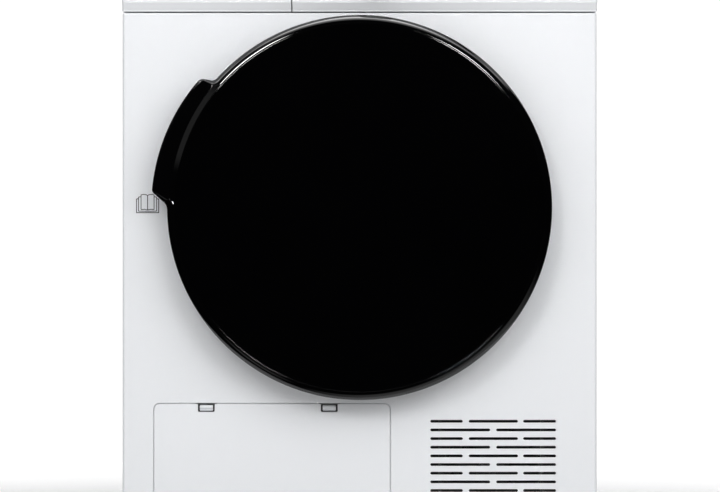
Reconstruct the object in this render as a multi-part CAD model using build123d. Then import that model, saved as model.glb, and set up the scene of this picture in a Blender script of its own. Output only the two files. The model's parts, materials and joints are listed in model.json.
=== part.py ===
from build123d import *
import math
import os

os.makedirs("parts", exist_ok=True)

# ---------------------------------------------------------------- driving dimensions (mm)
# Frame: +X to the object's right as seen from the front, +Y to the back, +Z up.
# Origin on the floor, in the middle of the width and of the whole depth including the door.
W = 596.0                 # cabinet width
H = 845.0                 # height to the worktop's top
D = 648.0                 # whole depth, door front to rear duct cover
HW = W / 2
YF = -276.0               # front panel's front face
YD = -D / 2               # door's front face
YB = D / 2                # rear duct cover's back face
SHEET = 1.0               # cabinet sheet steel
Z_BASE = 16.0             # underside of the base tray
Z_SEAM = 719.0            # top of the front panel
Z_CTRL = 720.5            # bottom of the control panel
Z_TOP0 = 815.0            # underside of the worktop
PAN = 14.0                # depth of the front panel's folded edges
Y_SIDE0, Y_SIDE1 = YF + PAN, 300.0

ZC = 474.0                # height of the drum and door centre
R_DOOR = 240.0            # door outer radius
R_DISC = 230.0            # black front disc
R_GRIP = 259.6            # outer radius of the handle flange
R_DOORHOLE = 196.0        # opening in the front panel
R_THROAT = 172.0          # clear opening into the drum
R_DRUM = 280.0            # drum outside
DRUM_T = 1.0
DRUM_Y0, DRUM_Y1 = -218.0, 262.0

HINGE_X, HINGE_Y = 231.0, -300.0   # door pin line, vertical
PIN_R, RUN = 3.0, 0.05

FLAP = (-258.0, 38.0, 43.0, 229.0)  # service flap x0, x1, z0, z1
FLAP_GAP = 1.2
FLAP_AX = (-271.0, 47.5)            # its pin line (y, z)
LATCH_X = (-192.6, -38.1)           # centres of the two latch notches
LATCH_W, LATCH_H = 21.0, 10.7

SLOT_H, SLOT_PITCH, SLOT_Z0, SLOT_ROWS = 3.4, 10.87, 206.0, 13
SLOT_ODD = ((88.9, 129.5), (137.2, 198.8), (205.5, 246.7))
SLOT_EVEN = ((88.9, 163.9), (171.7, 246.7))

DRAWER_X1 = -85.8         # right edge of the tank drawer front
FASCIA_X0 = -84.4
Y_CTRL = -282.0           # control panel's front face

MOTOR = (165.0, 110.0)    # motor axis (x, z)
PULLEY_R = 9.0
BELT_Y = (127.0, 137.0)
IDLER_R = 15.0
ROLLER_R = 25.0
ROLLER_A = 38.0           # degrees either side of the drum's lowest point
FAN_X, FAN_Z = 168.0, 138.0
COMP = (185.0, -50.0)


# ---------------------------------------------------------------- helpers
def box(x0, x1, y0, y1, z0, z1):
    return Pos((x0 + x1) / 2, (y0 + y1) / 2, (z0 + z1) / 2) * Box(x1 - x0, y1 - y0, z1 - z0)


def cy(x, z, r, y0, y1):
    return Pos(x, (y0 + y1) / 2, z) * Rot(90, 0, 0) * Cylinder(r, y1 - y0)


def cz(x, y, r, z0, z1):
    return Pos(x, y, (z0 + z1) / 2) * Cylinder(r, z1 - z0)


def cx(y, z, r, x0, x1):
    return Pos((x0 + x1) / 2, y, z) * Rot(0, 90, 0) * Cylinder(r, x1 - x0)


def ring(x, z, ro, ri, y0, y1):
    return cy(x, z, ro, y0, y1) - cy(x, z, ri, y0 - 1, y1 + 1)


def rev(pts, x=0.0, z=ZC):
    """Turn an (r, y) outline about the line through (x, z) along Y."""
    wire = Polyline(*[(r, y, 0) for r, y in pts], close=True)
    return Pos(x, 0, z) * revolve(make_face(wire), Axis.Y, 360)


def prism_y(pts, y0, y1, x=0.0, z=0.0):
    """An (x, z) outline drawn out along Y."""
    pl = Plane(origin=(x, y1, z), x_dir=(1, 0, 0), z_dir=(0, -1, 0))
    face = make_face(Polyline(*pts, close=True))
    return extrude(pl * face, y1 - y0)


def prism_x(pts, x0, x1):
    """A (y, z) outline drawn out along X."""
    pl = Plane(origin=(x0, 0, 0), x_dir=(0, 1, 0), z_dir=(1, 0, 0))
    return extrude(pl * make_face(Polyline(*pts, close=True)), x1 - x0)


def face_y(sketch, y0, y1, x=0.0, z=0.0):
    """A sketch in (x, z) drawn out along Y from y0 to y1."""
    pl = Plane(origin=(x, y1, z), x_dir=(1, 0, 0), z_dir=(0, -1, 0))
    return extrude(pl * sketch, y1 - y0)


def save(name, *shapes):
    solids = []
    for s in shapes:
        solids += list(s.solids())
    out = solids[0] if len(solids) == 1 else Compound(children=solids)
    export_step(out, "parts/%s.step" % name)


def tube_path(pts, radii, r):
    path = FilletPolyline(*pts, radius=radii)
    d = (Vector(*pts[1]) - Vector(*pts[0])).normalized()
    sec = Plane(origin=pts[0], z_dir=d) * Circle(r)
    return sweep(sec, path=path)


# ---------------------------------------------------------------- front panel
fp = box(-HW, HW, YF, YF + PAN, 20, Z_SEAM)
fp = fillet(fp.edges().filter_by(Axis.Z).filter_by_position(Axis.Y, YF - 0.1, YF + 0.1), 4.0)
fp -= box(-HW + SHEET, HW - SHEET, YF + SHEET, YF + PAN + 1, 20 + SHEET, Z_SEAM - SHEET)
fp -= cy(0, ZC, R_DOORHOLE, YF - 1, YF + 3)
x0, x1, z0, z1 = FLAP
hole = Rectangle(x1 - x0 + 2 * FLAP_GAP, z1 - z0 + 2 * FLAP_GAP)
hole = fillet([v for v in hole.vertices() if v.Y > 0], 8.0)
hole = fillet([v for v in hole.vertices() if v.Y < -80], 1.2)
fp -= face_y(Pos((x0 + x1) / 2, (z0 + z1) / 2) * hole, YF - 1, YF + 3)
slots = []
for row in range(SLOT_ROWS):
    zz = SLOT_Z0 - row * SLOT_PITCH
    for a, b in (SLOT_ODD if row % 2 == 0 else SLOT_EVEN):
        slots.append(Pos((a + b) / 2, zz) * SlotOverall(b - a, SLOT_H))
for s in slots:
    fp -= face_y(s, YF - 1, YF + 3)
fp -= box(-212, -199, YF - 1, YF + 3, ZC - 13, ZC + 13)          # slot for the door's latch tongue
save("front_panel", fp)

# ---------------------------------------------------------------- side panels, rear wall, worktop
for name, s in (("side_panel_left", -1), ("side_panel_right", 1)):
    def sb(xa, xb, *r):
        return box(min(s * xa, s * xb), max(s * xa, s * xb), *r)
    p = sb(HW - SHEET, HW, Y_SIDE0, Y_SIDE1, Z_BASE, Z_TOP0)
    p += sb(HW - 15, HW, Y_SIDE0, Y_SIDE0 + SHEET, Z_BASE + 20, 750)
    p += sb(HW - 15, HW, Y_SIDE1 - SHEET, Y_SIDE1, Z_BASE, Z_TOP0)
    p += sb(HW - 15, HW, Y_SIDE0, Y_SIDE1, Z_TOP0 - SHEET, Z_TOP0)
    save(name, p)

RW = 288.0
rw = box(-HW + 2, HW - 2, RW, RW + SHEET, 22, 812)
rw += box(-HW + 2, -HW + 3, RW, 298.5, 22, 812) + box(HW - 3, HW - 2, RW, 298.5, 22, 812)
rw += box(-HW + 2, HW - 2, RW, 298.5, 811, 812)
rw += cy(0, ZC, 42, 272, RW)
rw -= cy(0, ZC, 25, 271, RW + 2)
for k in range(12):
    a = math.radians(30 * k)
    rw -= cy(130 * math.cos(a), ZC + 130 * math.sin(a), 20, RW - 1, RW + 2)
for k in range(18):
    a = math.radians(20 * k + 10)
    rw -= cy(200 * math.cos(a), ZC + 200 * math.sin(a), 22, RW - 1, RW + 2)
rw -= cy(MOTOR[0], MOTOR[1], 52, RW - 1, RW + 2)
for row in range(9):                                              # cooling air outlet louvres
    for a in (-262, -186):
        rw -= box(a, a + 64, RW - 1, RW + 2, 140 + row * 11, 144 + row * 11)
SCREWS = [(s * 283, z) for s in (-1, 1) for z in (70, 260, 690, 790)]
for sx, sz in SCREWS:
    rw -= cy(sx, sz, 2.2, RW - 1, RW + 2)
save("rear_wall", rw)
save("panel_screws", *[cy(sx, sz, 5.0, RW + SHEET, RW + SHEET + 2.6) + cy(sx, sz, 2.0, RW - 7, RW + SHEET)
                       for sx, sz in SCREWS])

wt = box(-HW, HW, -283, 302, Z_TOP0, H)
wt = fillet(wt.edges().filter_by(Axis.Z), 5.0)
wt = fillet(wt.edges().filter_by_position(Axis.Z, H - 0.1, H + 0.1), 3.0)
save("worktop", wt)

# ---------------------------------------------------------------- base tray and feet
BY0, BY1 = -261.0, 287.0
bt = box(-295, 295, BY0, BY1, Z_BASE, 20)
bt += box(-295, 295, BY0, BY0 + 3, Z_BASE, 40) + box(-295, 295, BY1 - 3, BY1, Z_BASE, 60)
bt += box(-295, -292, BY0, BY1, Z_BASE, 60) + box(292, 295, BY0, BY1, Z_BASE, 60)
CH = (-268.0, 48.0, -212.0, 45.0)   # heat exchanger channel, outside, x0 x1 y0 y1
bt += box(CH[0], CH[0] + 4, CH[2], CH[3], Z_BASE, 120) + box(CH[1] - 4, CH[1], CH[2], CH[3], Z_BASE, 120)
bt += box(CH[0], CH[1], -112, -108, Z_BASE, 33)                  # sill between the two exchangers
bt += box(-262, 42, -198, -117, Z_BASE, 30) + box(-262, 42, -103, 27, Z_BASE, 30)   # plinths
FOOT = ((-250.0, -226.0), (250.0, -226.0), (-250.0, 245.0), (250.0, 245.0))
for fx, fy in FOOT[:2]:
    bt += cz(fx, fy, 11, Z_BASE, 46)
    bt -= cz(fx, fy, 4.0 + RUN, Z_BASE - 1, 47)
for px, py in ((COMP[0] + 66, COMP[1]), (COMP[0] - 33, COMP[1] + 57.2), (COMP[0] - 33, COMP[1] - 57.2)):
    bt += cz(px, py, 16, Z_BASE, 28)
bt += box(MOTOR[0] - 40, MOTOR[0] + 40, 165, 250, Z_BASE, 30)     # motor plinth
bt += box(-262, -168, 95, 195, Z_BASE, 26)                        # sump ledge
bt += box(MOTOR[0] - 82, MOTOR[0] - 46, 108, 122, Z_BASE, 34)     # idler plinth
for a, b in ((FLAP[0] - 8, FLAP[0] - 1.6), (FLAP[1] + 1.6, FLAP[1] + 8)):   # ears for the flap's pins
    ear = box(a, b, FLAP_AX[0] - 3.6, BY0 + 1, 30, 53) - cx(FLAP_AX[0], FLAP_AX[1], 2.5 + RUN, a - 1, b + 1)
    bt += ear
bt = bt - cx(FLAP_AX[0], FLAP_AX[1], 2.5 + RUN, FLAP[0] - 9, FLAP[0] - 1)
bt = bt - cx(FLAP_AX[0], FLAP_AX[1], 2.5 + RUN, FLAP[1] + 1, FLAP[1] + 9)
save("base_tray", bt)

for name, (fx, fy) in (("foot_front_left", FOOT[0]), ("foot_front_right", FOOT[1])):
    f = cz(fx, fy, 20, 0, 9)
    f = fillet(f.edges().filter_by_position(Axis.Z, 8.9, 9.1), 2.5)
    f += cz(fx, fy, 7.5, 9, 13) + cz(fx, fy, 4.0, 13, 44)
    save(name, f)
rf = []
for fx, fy in FOOT[2:]:
    f = cz(fx, fy, 20, 0, 9)
    f = fillet(f.edges().filter_by_position(Axis.Z, 8.9, 9.1), 2.5)
    rf.append(f + cz(fx, fy, 9, 9, Z_BASE))
save("rear_feet", *rf)

# ---------------------------------------------------------------- control panel
PROF = [(-262.5, 814), (Y_CTRL, 814), (Y_CTRL, 731.5), (-277.0, 721.7), (-277.0, Z_CTRL), (-262.5, Z_CTRL)]
INNER = [(-261.0, 811.5), (Y_CTRL + 2.5, 811.5), (Y_CTRL + 2.5, 732.0), (-274.6, 723.0), (-261.0, 723.0)]
KX, KZ = 25.0, 768.0
BX, BZ = -50.0, 768.0
DISP = (108.0, 216.0, 750.0, 788.0)
fa = prism_x(PROF, FASCIA_X0, HW) - prism_x(INNER, FASCIA_X0 + 2.5, HW - 2.5)
fa = fillet(fa.edges().filter_by(Axis.Z).filter_by_position(Axis.X, HW - 0.1, HW + 0.1)
            .filter_by_position(Axis.Y, Y_CTRL - 0.1, Y_CTRL + 0.1), 3.0)
fa += cy(KX, KZ, 10, Y_CTRL + 2.4, -264)
fa -= cy(KX, KZ, 5.0 + RUN, -290, -250)
fa -= cy(BX, BZ, 9.4, -290, -274)
fa -= box(DISP[0], DISP[1], Y_CTRL - 1, Y_CTRL + 3, DISP[2], DISP[3])
save("control_fascia", fa)
save("display_window", box(DISP[0], DISP[1], Y_CTRL, Y_CTRL + 2.5, DISP[2], DISP[3]))
save("control_board", box(60, 250, -262.5, -248, 736, 802) + box(90, 230, -272, -262.5, 745, 793))

kn = cy(KX, KZ, 27, -304, Y_CTRL - 0.5)
kn = fillet(kn.edges().filter_by_position(Axis.Y, -304.1, -303.9), 2.5)
kn += cy(KX, KZ, 5.0, Y_CTRL - 0.5, -263)
kn -= box(KX - 0.9, KX + 0.9, -305, -303.2, KZ + 13, KZ + 24)      # index groove
save("programme_knob", kn)
pb = cy(BX, BZ, 9.0, Y_CTRL - 2.2, -276)
pb = fillet(pb.edges().filter_by_position(Axis.Y, Y_CTRL - 2.3, Y_CTRL - 2.1), 0.8)
save("power_button", pb)

# ---------------------------------------------------------------- water tank drawer
df = prism_x(PROF, -HW, DRAWER_X1) - prism_x(INNER, -HW + 2.5, DRAWER_X1 - 2.5)
df = fillet(df.edges().filter_by(Axis.Z).filter_by_position(Axis.X, -HW - 0.1, -HW + 0.1)
            .filter_by_position(Axis.Y, Y_CTRL - 0.1, Y_CTRL + 0.1), 3.0)
# finger pull: a scoop in the drawer front's face
pull = box(-235, -150, Y_CTRL - 1, Y_CTRL + 12, 742, 762)
df += box(-238, -147, Y_CTRL + 2, Y_CTRL + 14, 739, 765)
df -= pull
save("tank_drawer_front", df)
wtk = box(-291, -91, -262.5, 238, 761, 809)
wtk = fillet(wtk.edges().filter_by(Axis.Y), 6.0)
wtk -= box(-288.5, -93.5, -260, 235.5, 763.5, 806.5)
wtk -= cz(-250, 212, 14, 800, 812)                                   # filling hole
wtk -= box(-160, -110, -246, -222, 800, 812)                         # pouring mouth
save("water_tank", wtk)

tc = box(-294, -88, -256, 262, 757.2, 760)
tc += box(-294, -291.8, -256, 262, 757.2, 775) + box(-90.2, -88, -256, 262, 757.2, 775)
tc += box(-294, -88, 240, 262, 757.2, 800) - box(-262, -238, 239, 259.5, 770, 801)
save("tank_cradle", tc)

# ---------------------------------------------------------------- front bulkhead, throat, seals
fb = box(-290, 290, -240, -235, 216, 752)
fb += rev([(R_THROAT, -275), (199, -275), (199, -272), (177, -272), (177, -238), (264, -238), (264, -196),
           (261, -196), (261, -235), (177, -235), (177, -218), (R_THROAT, -218)])
LF = (-76.0, 76.0, -261.0, -244.0, 222.0, 306.0)                      # lint filter body
fb += box(LF[0] - 4, LF[1] + 4, LF[2] - 3.5, -239, 190, 316)
fb -= box(LF[0] - 1, LF[1] + 1, LF[2] - 1, -243, 189, 330)
fb -= cy(0, ZC, R_THROAT, -280, -200)
save("front_bulkhead", fb)
lf = box(LF[0], LF[1], LF[2], LF[3], LF[4], LF[5])
lf -= box(LF[0] + 8, LF[1] - 8, LF[2] - 1, LF[3] + 1, LF[4] + 8, LF[5] - 14)
lf += box(LF[0] + 8, LF[1] - 8, -253.5, -252.3, LF[4] + 8, LF[5] - 14)         # mesh sheet
lf -= box(-26, 26, -257, -247, LF[5] - 7, LF[5] + 1)                            # finger pull
save("lint_filter", lf)

ds = rev([(178, -275), (190, -275), (190, -279.2), (186, -280.6), (180, -280.6), (178, -277.5)])
save("door_seal", ds)
felt_f = rev([(264, -216), (278.5, -216), (278.5, -202), (264, -202)])
felt_r = rev([(262, DRUM_Y1 + 0.4), (279, DRUM_Y1 + 0.4), (279, RW), (262, RW)])
save("drum_seals", felt_f, felt_r)

# ---------------------------------------------------------------- drum
ri = R_DRUM - DRUM_T
DB = 258.0                                                            # drum's back wall
dr = rev([(ri, DRUM_Y0), (R_DRUM, DRUM_Y0), (R_DRUM, DRUM_Y1), (ri, DRUM_Y1), (ri, DB + DRUM_T), (0, DB + DRUM_T),
          (0, DB), (ri, DB)])
for rr, n in ((95, 16), (125, 20), (155, 26), (185, 30), (215, 36)):
    for k in range(n):
        a = 2 * math.pi * k / n
        dr -= cy(rr * math.cos(a), ZC + rr * math.sin(a), 5.0, DB - 1, DB + 3)
save("drum_shell", dr)
lift = []
for k in range(3):
    prof = [(-36, 290), (-30, 262), (-13, 230), (-7, 226), (7, 226), (13, 230), (30, 262), (36, 290)]
    inn = [(-32, 292), (-26.5, 264), (-10.5, 233), (-6, 229), (6, 229), (10.5, 233), (26.5, 264), (32, 292)]
    p = prism_y(prof, -190, 240) - prism_y(inn, -187, 237)
    p = p & cy(0, 0, ri, -200, 250)
    lift.append(Pos(0, 0, ZC) * Rot(0, 120 * k, 0) * p)
save("drum_lifters", *lift)
ax = cy(0, ZC, 40, DB + DRUM_T, 265) + cy(0, ZC, 12, 265, 293)
save("drum_axle", ax)
save("rear_bearing", ring(0, ZC, 25, 12 + RUN, 268, 294) )

ra = math.radians(ROLLER_A)
rr = R_DRUM + ROLLER_R + 0.3
RX, RZ = rr * math.sin(ra), ZC - rr * math.cos(ra)
for name, s in (("front_roller_left", -1), ("front_roller_right", 1)):
    w = ring(s * RX, RZ, ROLLER_R, 5.0 + RUN, -213, -193)
    save(name, w)
save("roller_axles", *[cy(s * RX, RZ, 5.0, -235, -190) + cy(s * RX, RZ, 9.0, -235, -217) for s in (-1, 1)])

# ---------------------------------------------------------------- belt, motor, idler
def hull(ra_, rb_):
    """Closed outline round the drum circle and the pulley circle."""
    dx, dz = MOTOR[0], MOTOR[1] - ZC
    d = math.hypot(dx, dz)
    ux, uz = dx / d, dz / d
    c = (ra_ - rb_) / d
    s = math.sqrt(1 - c * c)
    quad = []
    for sg in (1, -1):
        nx, nz = -uz * sg, ux * sg
        mx, mz = c * ux + s * nx, c * uz + s * nz
        quad.append(((ra_ * mx, ZC + ra_ * mz), (MOTOR[0] + rb_ * mx, MOTOR[1] + rb_ * mz)))
    (a1, b1), (a2, b2) = quad
    poly = make_face(Polyline(a1, b1, b2, a2, close=True))
    return Pos(0, ZC) * Circle(ra_) + Pos(*MOTOR) * Circle(rb_) + poly


belt = face_y(hull(282.8, PULLEY_R + 2.8), *BELT_Y) - face_y(hull(280.3, PULLEY_R + 0.3), BELT_Y[0] - 1, BELT_Y[1] + 1)
save("drive_belt", belt)
mx, mz = MOTOR
mo = cy(mx, mz, 45, 165, 257)
mo = fillet(mo.edges().filter_by(GeomType.CIRCLE), 8.0)
mo += box(mx - 36, mx + 36, 172, 246, 30, 74)
mo += cy(mx, mz, 18, 157, 264)
mo -= cy(mx, mz, 6 + RUN, 100, 300)
save("drive_motor", mo)
save("motor_shaft", cy(mx, mz, 6, 124, 318) + cy(mx, mz, PULLEY_R, 126, 138) + cy(mx, mz, 11, 123, 126)
     + cy(mx, mz, 11, 138, 141))
fw = ring(mx, mz, 66, 6.0, 312, 315) + ring(mx, mz, 15, 6.0, 296, 312) + ring(mx, mz, 66, 52, 292.5, 295)
for k in range(20):
    blade = Rot(0, 18 * k, 0) * (Pos(59, 303.5, 0) * Rot(0, 32, 0) * Box(12.5, 17.2, 1.6))
    fw += Pos(mx, 0, mz) * blade
save("process_fan_wheel", fw)

dx, dz = MOTOR[0], MOTOR[1] - ZC
d = math.hypot(dx, dz)
ux, uz = dx / d, dz / d
c = (282.8 - 11.8) / d
s_ = math.sqrt(1 - c * c)
nx, nz = (uz, -ux)
if nx > 0:
    nx, nz = -nx, -nz
m_ = (c * ux + s_ * nx, c * uz + s_ * nz)
ta = (MOTOR[0] + 11.8 * m_[0], MOTOR[1] + 11.8 * m_[1])
tb = (282.8 * m_[0], ZC + 282.8 * m_[1])
L = math.hypot(tb[0] - ta[0], tb[1] - ta[1])
t_ = ((tb[0] - ta[0]) / L, (tb[1] - ta[1]) / L)
IX = ta[0] + 60 * t_[0] + m_[0] * (IDLER_R + 0.3)
IZ = ta[1] + 60 * t_[1] + m_[1] * (IDLER_R + 0.3)
save("tensioner_pulley", ring(IX, IZ, IDLER_R, 4.0 + RUN, 125, 139))
save("tensioner_bracket", box(IX - 12, IX + 12, 112, 118, 34, IZ + 12) + box(IX - 14, IX + 14, 110, 120, 34, 40)
     + cy(IX, IZ, 4.0, 118, 144) + cy(IX, IZ, 7.0, 118, 123))
print("idler at", round(IX, 2), round(IZ, 2), "roller at", round(RX, 2), round(RZ, 2))

# ---------------------------------------------------------------- rear duct
duct2 = Pos(0, ZC) * Circle(262) + Pos(mx, mz) * Circle(84)
duct2 += make_face(Polyline((-20, ZC - 200), (MOTOR[0] - 84, mz), (MOTOR[0] + 84, mz), (246, ZC - 90), (0, ZC), close=True))
duct2i = Pos(0, ZC) * Circle(260.8) + Pos(mx, mz) * Circle(82.8)
duct2i += make_face(Polyline((-18, ZC - 200), (MOTOR[0] - 82.8, mz), (MOTOR[0] + 82.8, mz), (244.8, ZC - 90), (0, ZC), close=True))
dc = face_y(duct2, RW + SHEET, YB) - face_y(duct2i, RW, YB - 1.2)
save("rear_duct_cover", dc)

# ---------------------------------------------------------------- heat pump
cxx, cyy = COMP
co = cz(cxx, cyy, 55, 46, 200)
co = fillet(co.edges().filter_by(GeomType.CIRCLE), 22.0)
tri = [(cxx + 82, cyy), (cxx - 41, cyy + 71), (cxx - 41, cyy - 71)]
co += extrude(Pos(0, 0, 40) * fillet(make_face(Polyline(*tri, close=True)).vertices(), 14.0), 7)
co += cz(113, -128, 20, 75, 180) + box(113, 162, -118, -92, 100, 106)
save("compressor", co)
save("compressor_grommets", *[cz(px, py, 12, 28, 40) for px, py in
     ((cxx + 66, cyy), (cxx - 33, cyy + 57.2), (cxx - 33, cyy - 57.2))])


def exchanger(y0, y1, rows):
    g = box(-262, -259, y0 - 2, y1 + 2, 30, 174) + box(39, 42, y0 - 2, y1 + 2, 30, 174)
    n = 27
    for k in range(n):
        xx = -249.5 + k * 10.75
        g += box(xx - 0.6, xx + 0.6, y0, y1, 31, 173)
    for j in range(rows):
        yy = y0 + (y1 - y0) * (j + 0.5) / rows
        for zz in (60, 102, 144):
            g += cx(yy, zz, 4.8, -262, 42)
    return g


save("evaporator", exchanger(-198, -117, 2))
save("condenser", exchanger(-103, 27, 3))
hc = box(CH[0], CH[1], CH[2], CH[3], 120, 182) - box(CH[0] + 4, CH[1] - 4, CH[2] - 1, CH[3] + 1, 119, 176)
save("heat_exchanger_cover", hc)

p1 = tube_path([(134, -40, 176), (100, -40, 176), (76, -10, 150), (48, -10, 150)], [12, 12], 4.0)
p2 = tube_path([(48, -160, 155), (113, -160, 155), (113, -160, 198), (113, -128, 198), (113, -128, 178)],
               [12, 12, 10], 4.0)
p3 = tube_path([(48, 5, 70), (72, 5, 70), (72, -175, 70), (48, -175, 70)], [10, 10], 2.5)
p3 += Pos(72, -70, 70) * Rot(90, 0, 0) * Cylinder(9, 80)
save("refrigerant_pipes", p1, p2, p3)

ef = box(-252, 32, -238, -218, 52, 172) - box(-244, 24, -239, -217, 60, 164)
ef += box(-244, 24, -225, -223.5, 60, 164)
for xx in (-155, -66):
    ef += box(xx - 1.5, xx + 1.5, -230, -218, 52, 172)
ef += box(-156, -65, -238, -226, 106, 118)
save("evaporator_filter", ef)

pu = cz(-215, 145, 32, 26, 78) + cz(-215, 145, 20, 78, 112) + cz(-215, 145, 5, 112, 118)
save("condensate_pump", pu)
ho = tube_path([(-215, 145, 118), (-215, 145, 140), (-215, 276, 140), (-288, 276, 140), (-288, 276, 785),
               (-250, 276, 785), (-250, 262, 785)], [12, 15, 15, 15, 8], 5.0)
save("condensate_hose", ho)

# ---------------------------------------------------------------- cooling fan behind the grille
G = (84.0, 252.0, 60.0, 213.0)
sh = box(G[0], G[1], YF + SHEET, -222, G[2], G[3]) - box(G[0] + 2.5, G[1] - 2.5, YF, -226, G[2] + 2.5, G[3] - 2.5)
sh -= cy(FAN_X, FAN_Z, 62, -230, -220)
for a in (90, 210, 330):
    t = math.radians(a)
    strut = Pos(FAN_X, -224, FAN_Z) * Rot(0, -a, 0) * (Pos(34, 0, 0) * Box(60, 4, 6))
    sh += strut
sh += cy(FAN_X, FAN_Z, 16, -226, -222) + cy(FAN_X, FAN_Z, 4.0, -252, -224)
for xx in (101.0, 229.0):
    sh += box(xx - 1.5, xx + 1.5, YF + SHEET, -266, G[2], G[3])
save("cooling_fan_shroud", sh)
fr = ring(FAN_X, FAN_Z, 20, 4.0 + RUN, -250, -230)
for k in range(7):
    b = Pos(38, -240, 0) * Rot(38, 0, 0) * Box(40, 2.2, 24)
    fr += Pos(FAN_X, 0, FAN_Z) * Rot(0, 360 / 7 * k, 0) * b
fr &= ring(FAN_X, FAN_Z, 59, 4.0 + RUN, -252, -228)
save("cooling_fan_rotor", fr)

# ---------------------------------------------------------------- service flap and its latches
fl2 = Rectangle(x1 - x0, z1 - z0)
fl2 = fillet([v for v in fl2.vertices() if v.Y > 0], 7.0)
fl2 = fillet([v for v in fl2.vertices() if v.Y < -80], 2.0)
fl = face_y(Pos((x0 + x1) / 2, (z0 + z1) / 2) * fl2, YF, YF + 2.6)
fl += box(x0 + 6, x1 - 6, YF + 2.6, YF + 6, z0 + 2, z0 + 4.4) + box(x0 + 6, x1 - 6, YF + 2.6, YF + 6, z1 - 16, z1 - 13.6)
fl += box(x0 + 6, x0 + 8.4, YF + 2.6, YF + 6, z0 + 2, z1 - 13.6) + box(x1 - 8.4, x1 - 6, YF + 2.6, YF + 6, z0 + 2, z1 - 13.6)
for a, b, c0, c1 in ((x0 - 4.5, x0 + 3, x0 + 0.5, x0 + 6), (x1 - 3, x1 + 4.5, x1 - 6, x1 - 0.5)):
    fl += box(c0, c1, YF + 2.6, FLAP_AX[0] + 3, FLAP_AX[1] - 3, FLAP_AX[1] + 3)
    fl += cx(FLAP_AX[0], FLAP_AX[1], 2.5, a, b)
for lx in LATCH_X:
    fl -= box(lx - LATCH_W / 2, lx + LATCH_W / 2, YF - 1, YF + 3, z1 - LATCH_H, z1 + 1)
    # pocket behind the notch
    fl += box(lx - LATCH_W / 2 - 2, lx + LATCH_W / 2 + 2, YF + 2.6, YF + 10, z1 - LATCH_H - 5, z1 - 1)
    fl -= box(lx - LATCH_W / 2, lx + LATCH_W / 2, YF - 1, YF + 8, z1 - LATCH_H - 3, z1 + 1)
save("service_flap", fl)
for name, lx in (("flap_latch_left", LATCH_X[0]), ("flap_latch_right", LATCH_X[1])):
    la = box(lx - 7.5, lx + 7.5, YF + 1.0, YF + 3.4, z1 - 7.6, z1 - 3.4)
    la += box(lx - 8.5, lx + 8.5, YF + 3.4, YF + 6.4, z1 - 9.0, z1 - 1.4)
    save(name, la)

# ---------------------------------------------------------------- door
grip = make_face(Polyline((-150, 159.8), (-213, 163.3), (-283, 163.3), (-283, 45.5), (-223.5, -11.5), (-150, -11.5), close=True))
outline = Circle(R_DOOR) + (grip & Circle(R_GRIP))
outer_pts = [v for v in outline.vertices() if math.hypot(v.X, v.Y) > R_DOOR + 5]
outline = fillet(outer_pts, 7.0)
inner_pts = [v for v in outline.vertices() if abs(math.hypot(v.X, v.Y) - R_DOOR) < 0.01 and v.X < -150]
outline = fillet(inner_pts, 9.0)
Y_TRIM1 = -283.0
tr = face_y(outline, YD, Y_TRIM1, 0, ZC)
tr = fillet(tr.edges().filter_by_position(Axis.Y, YD - 0.05, YD + 0.05), 5.0)
tr -= face_y(Circle(R_GRIP + 20) - Circle(R_DOOR), -301, Y_TRIM1 + 1, 0, ZC)
tr -= cy(0, ZC, R_DISC, YD - 1, -319)
tr -= cy(0, ZC, R_DISC - 3, -320, Y_TRIM1 + 1)
# hollow behind the handle flange, for the fingers
gh = make_face(Polyline((-150, 152.0), (-206, 155.0), (-285, 155.0), (-285, 52.0), (-238, 18.0), (-150, 18), close=True))
pocket = (gh & Circle(R_GRIP - 4)) - Circle(R_DOOR + 1)
tr -= face_y(pocket, -317, -295, 0, ZC)
# clearance for the hinge lugs behind the rim
tr -= box(201, 260, -316, Y_TRIM1 + 1, ZC - 48, ZC + 48)
save("door_outer_trim", tr)

dd = cy(0, ZC, R_DISC, YD + 0.6, -319)
dd = fillet(dd.edges().filter_by_position(Axis.Y, YD + 0.5, YD + 0.7), 1.0)
save("door_front_disc", dd)

fi = rev([(158, -287), (R_DISC - 3, -287), (R_DISC - 3, -281), (158, -281)])
fi += rev([(196, -319), (199, -319), (199, -287), (196, -287)])       # stand-off wall up to the disc
fi -= box(201, 260, -330, -270, ZC - 48, ZC + 48)
fi -= box(174, 203, -330, -287, ZC - 30, ZC + 30)
save("door_inner_frame", fi)
ip = rev([(0, -238), (140, -238), (148, -243.5), (155.4, -281), (176, -281), (176, -278.6), (158, -278.6),
          (150.6, -241.5), (141.4, -234.5), (0, -234.5)])
ip += ring(0, ZC, 158, 155.4, -287, -278.6)
save("door_inner_panel", ip)

hk = box(-214, -200, -281, -279, ZC - 16, ZC + 16) + box(-208, -203.5, -279, -258, ZC - 8, ZC + 8)
hk -= box(-210, -200, -268, -262, ZC - 4, ZC + 4)
save("door_latch_hook", hk)
lr = box(-220, -197.6 + 3.0, YF + SHEET, -248, ZC - 22, ZC + 22) - box(-213, -199, YF, -252, ZC - 14, ZC + 14)
lr -= cy(0, ZC, 199.0, -276, -270)
save("door_latch_receiver", lr)

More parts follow.
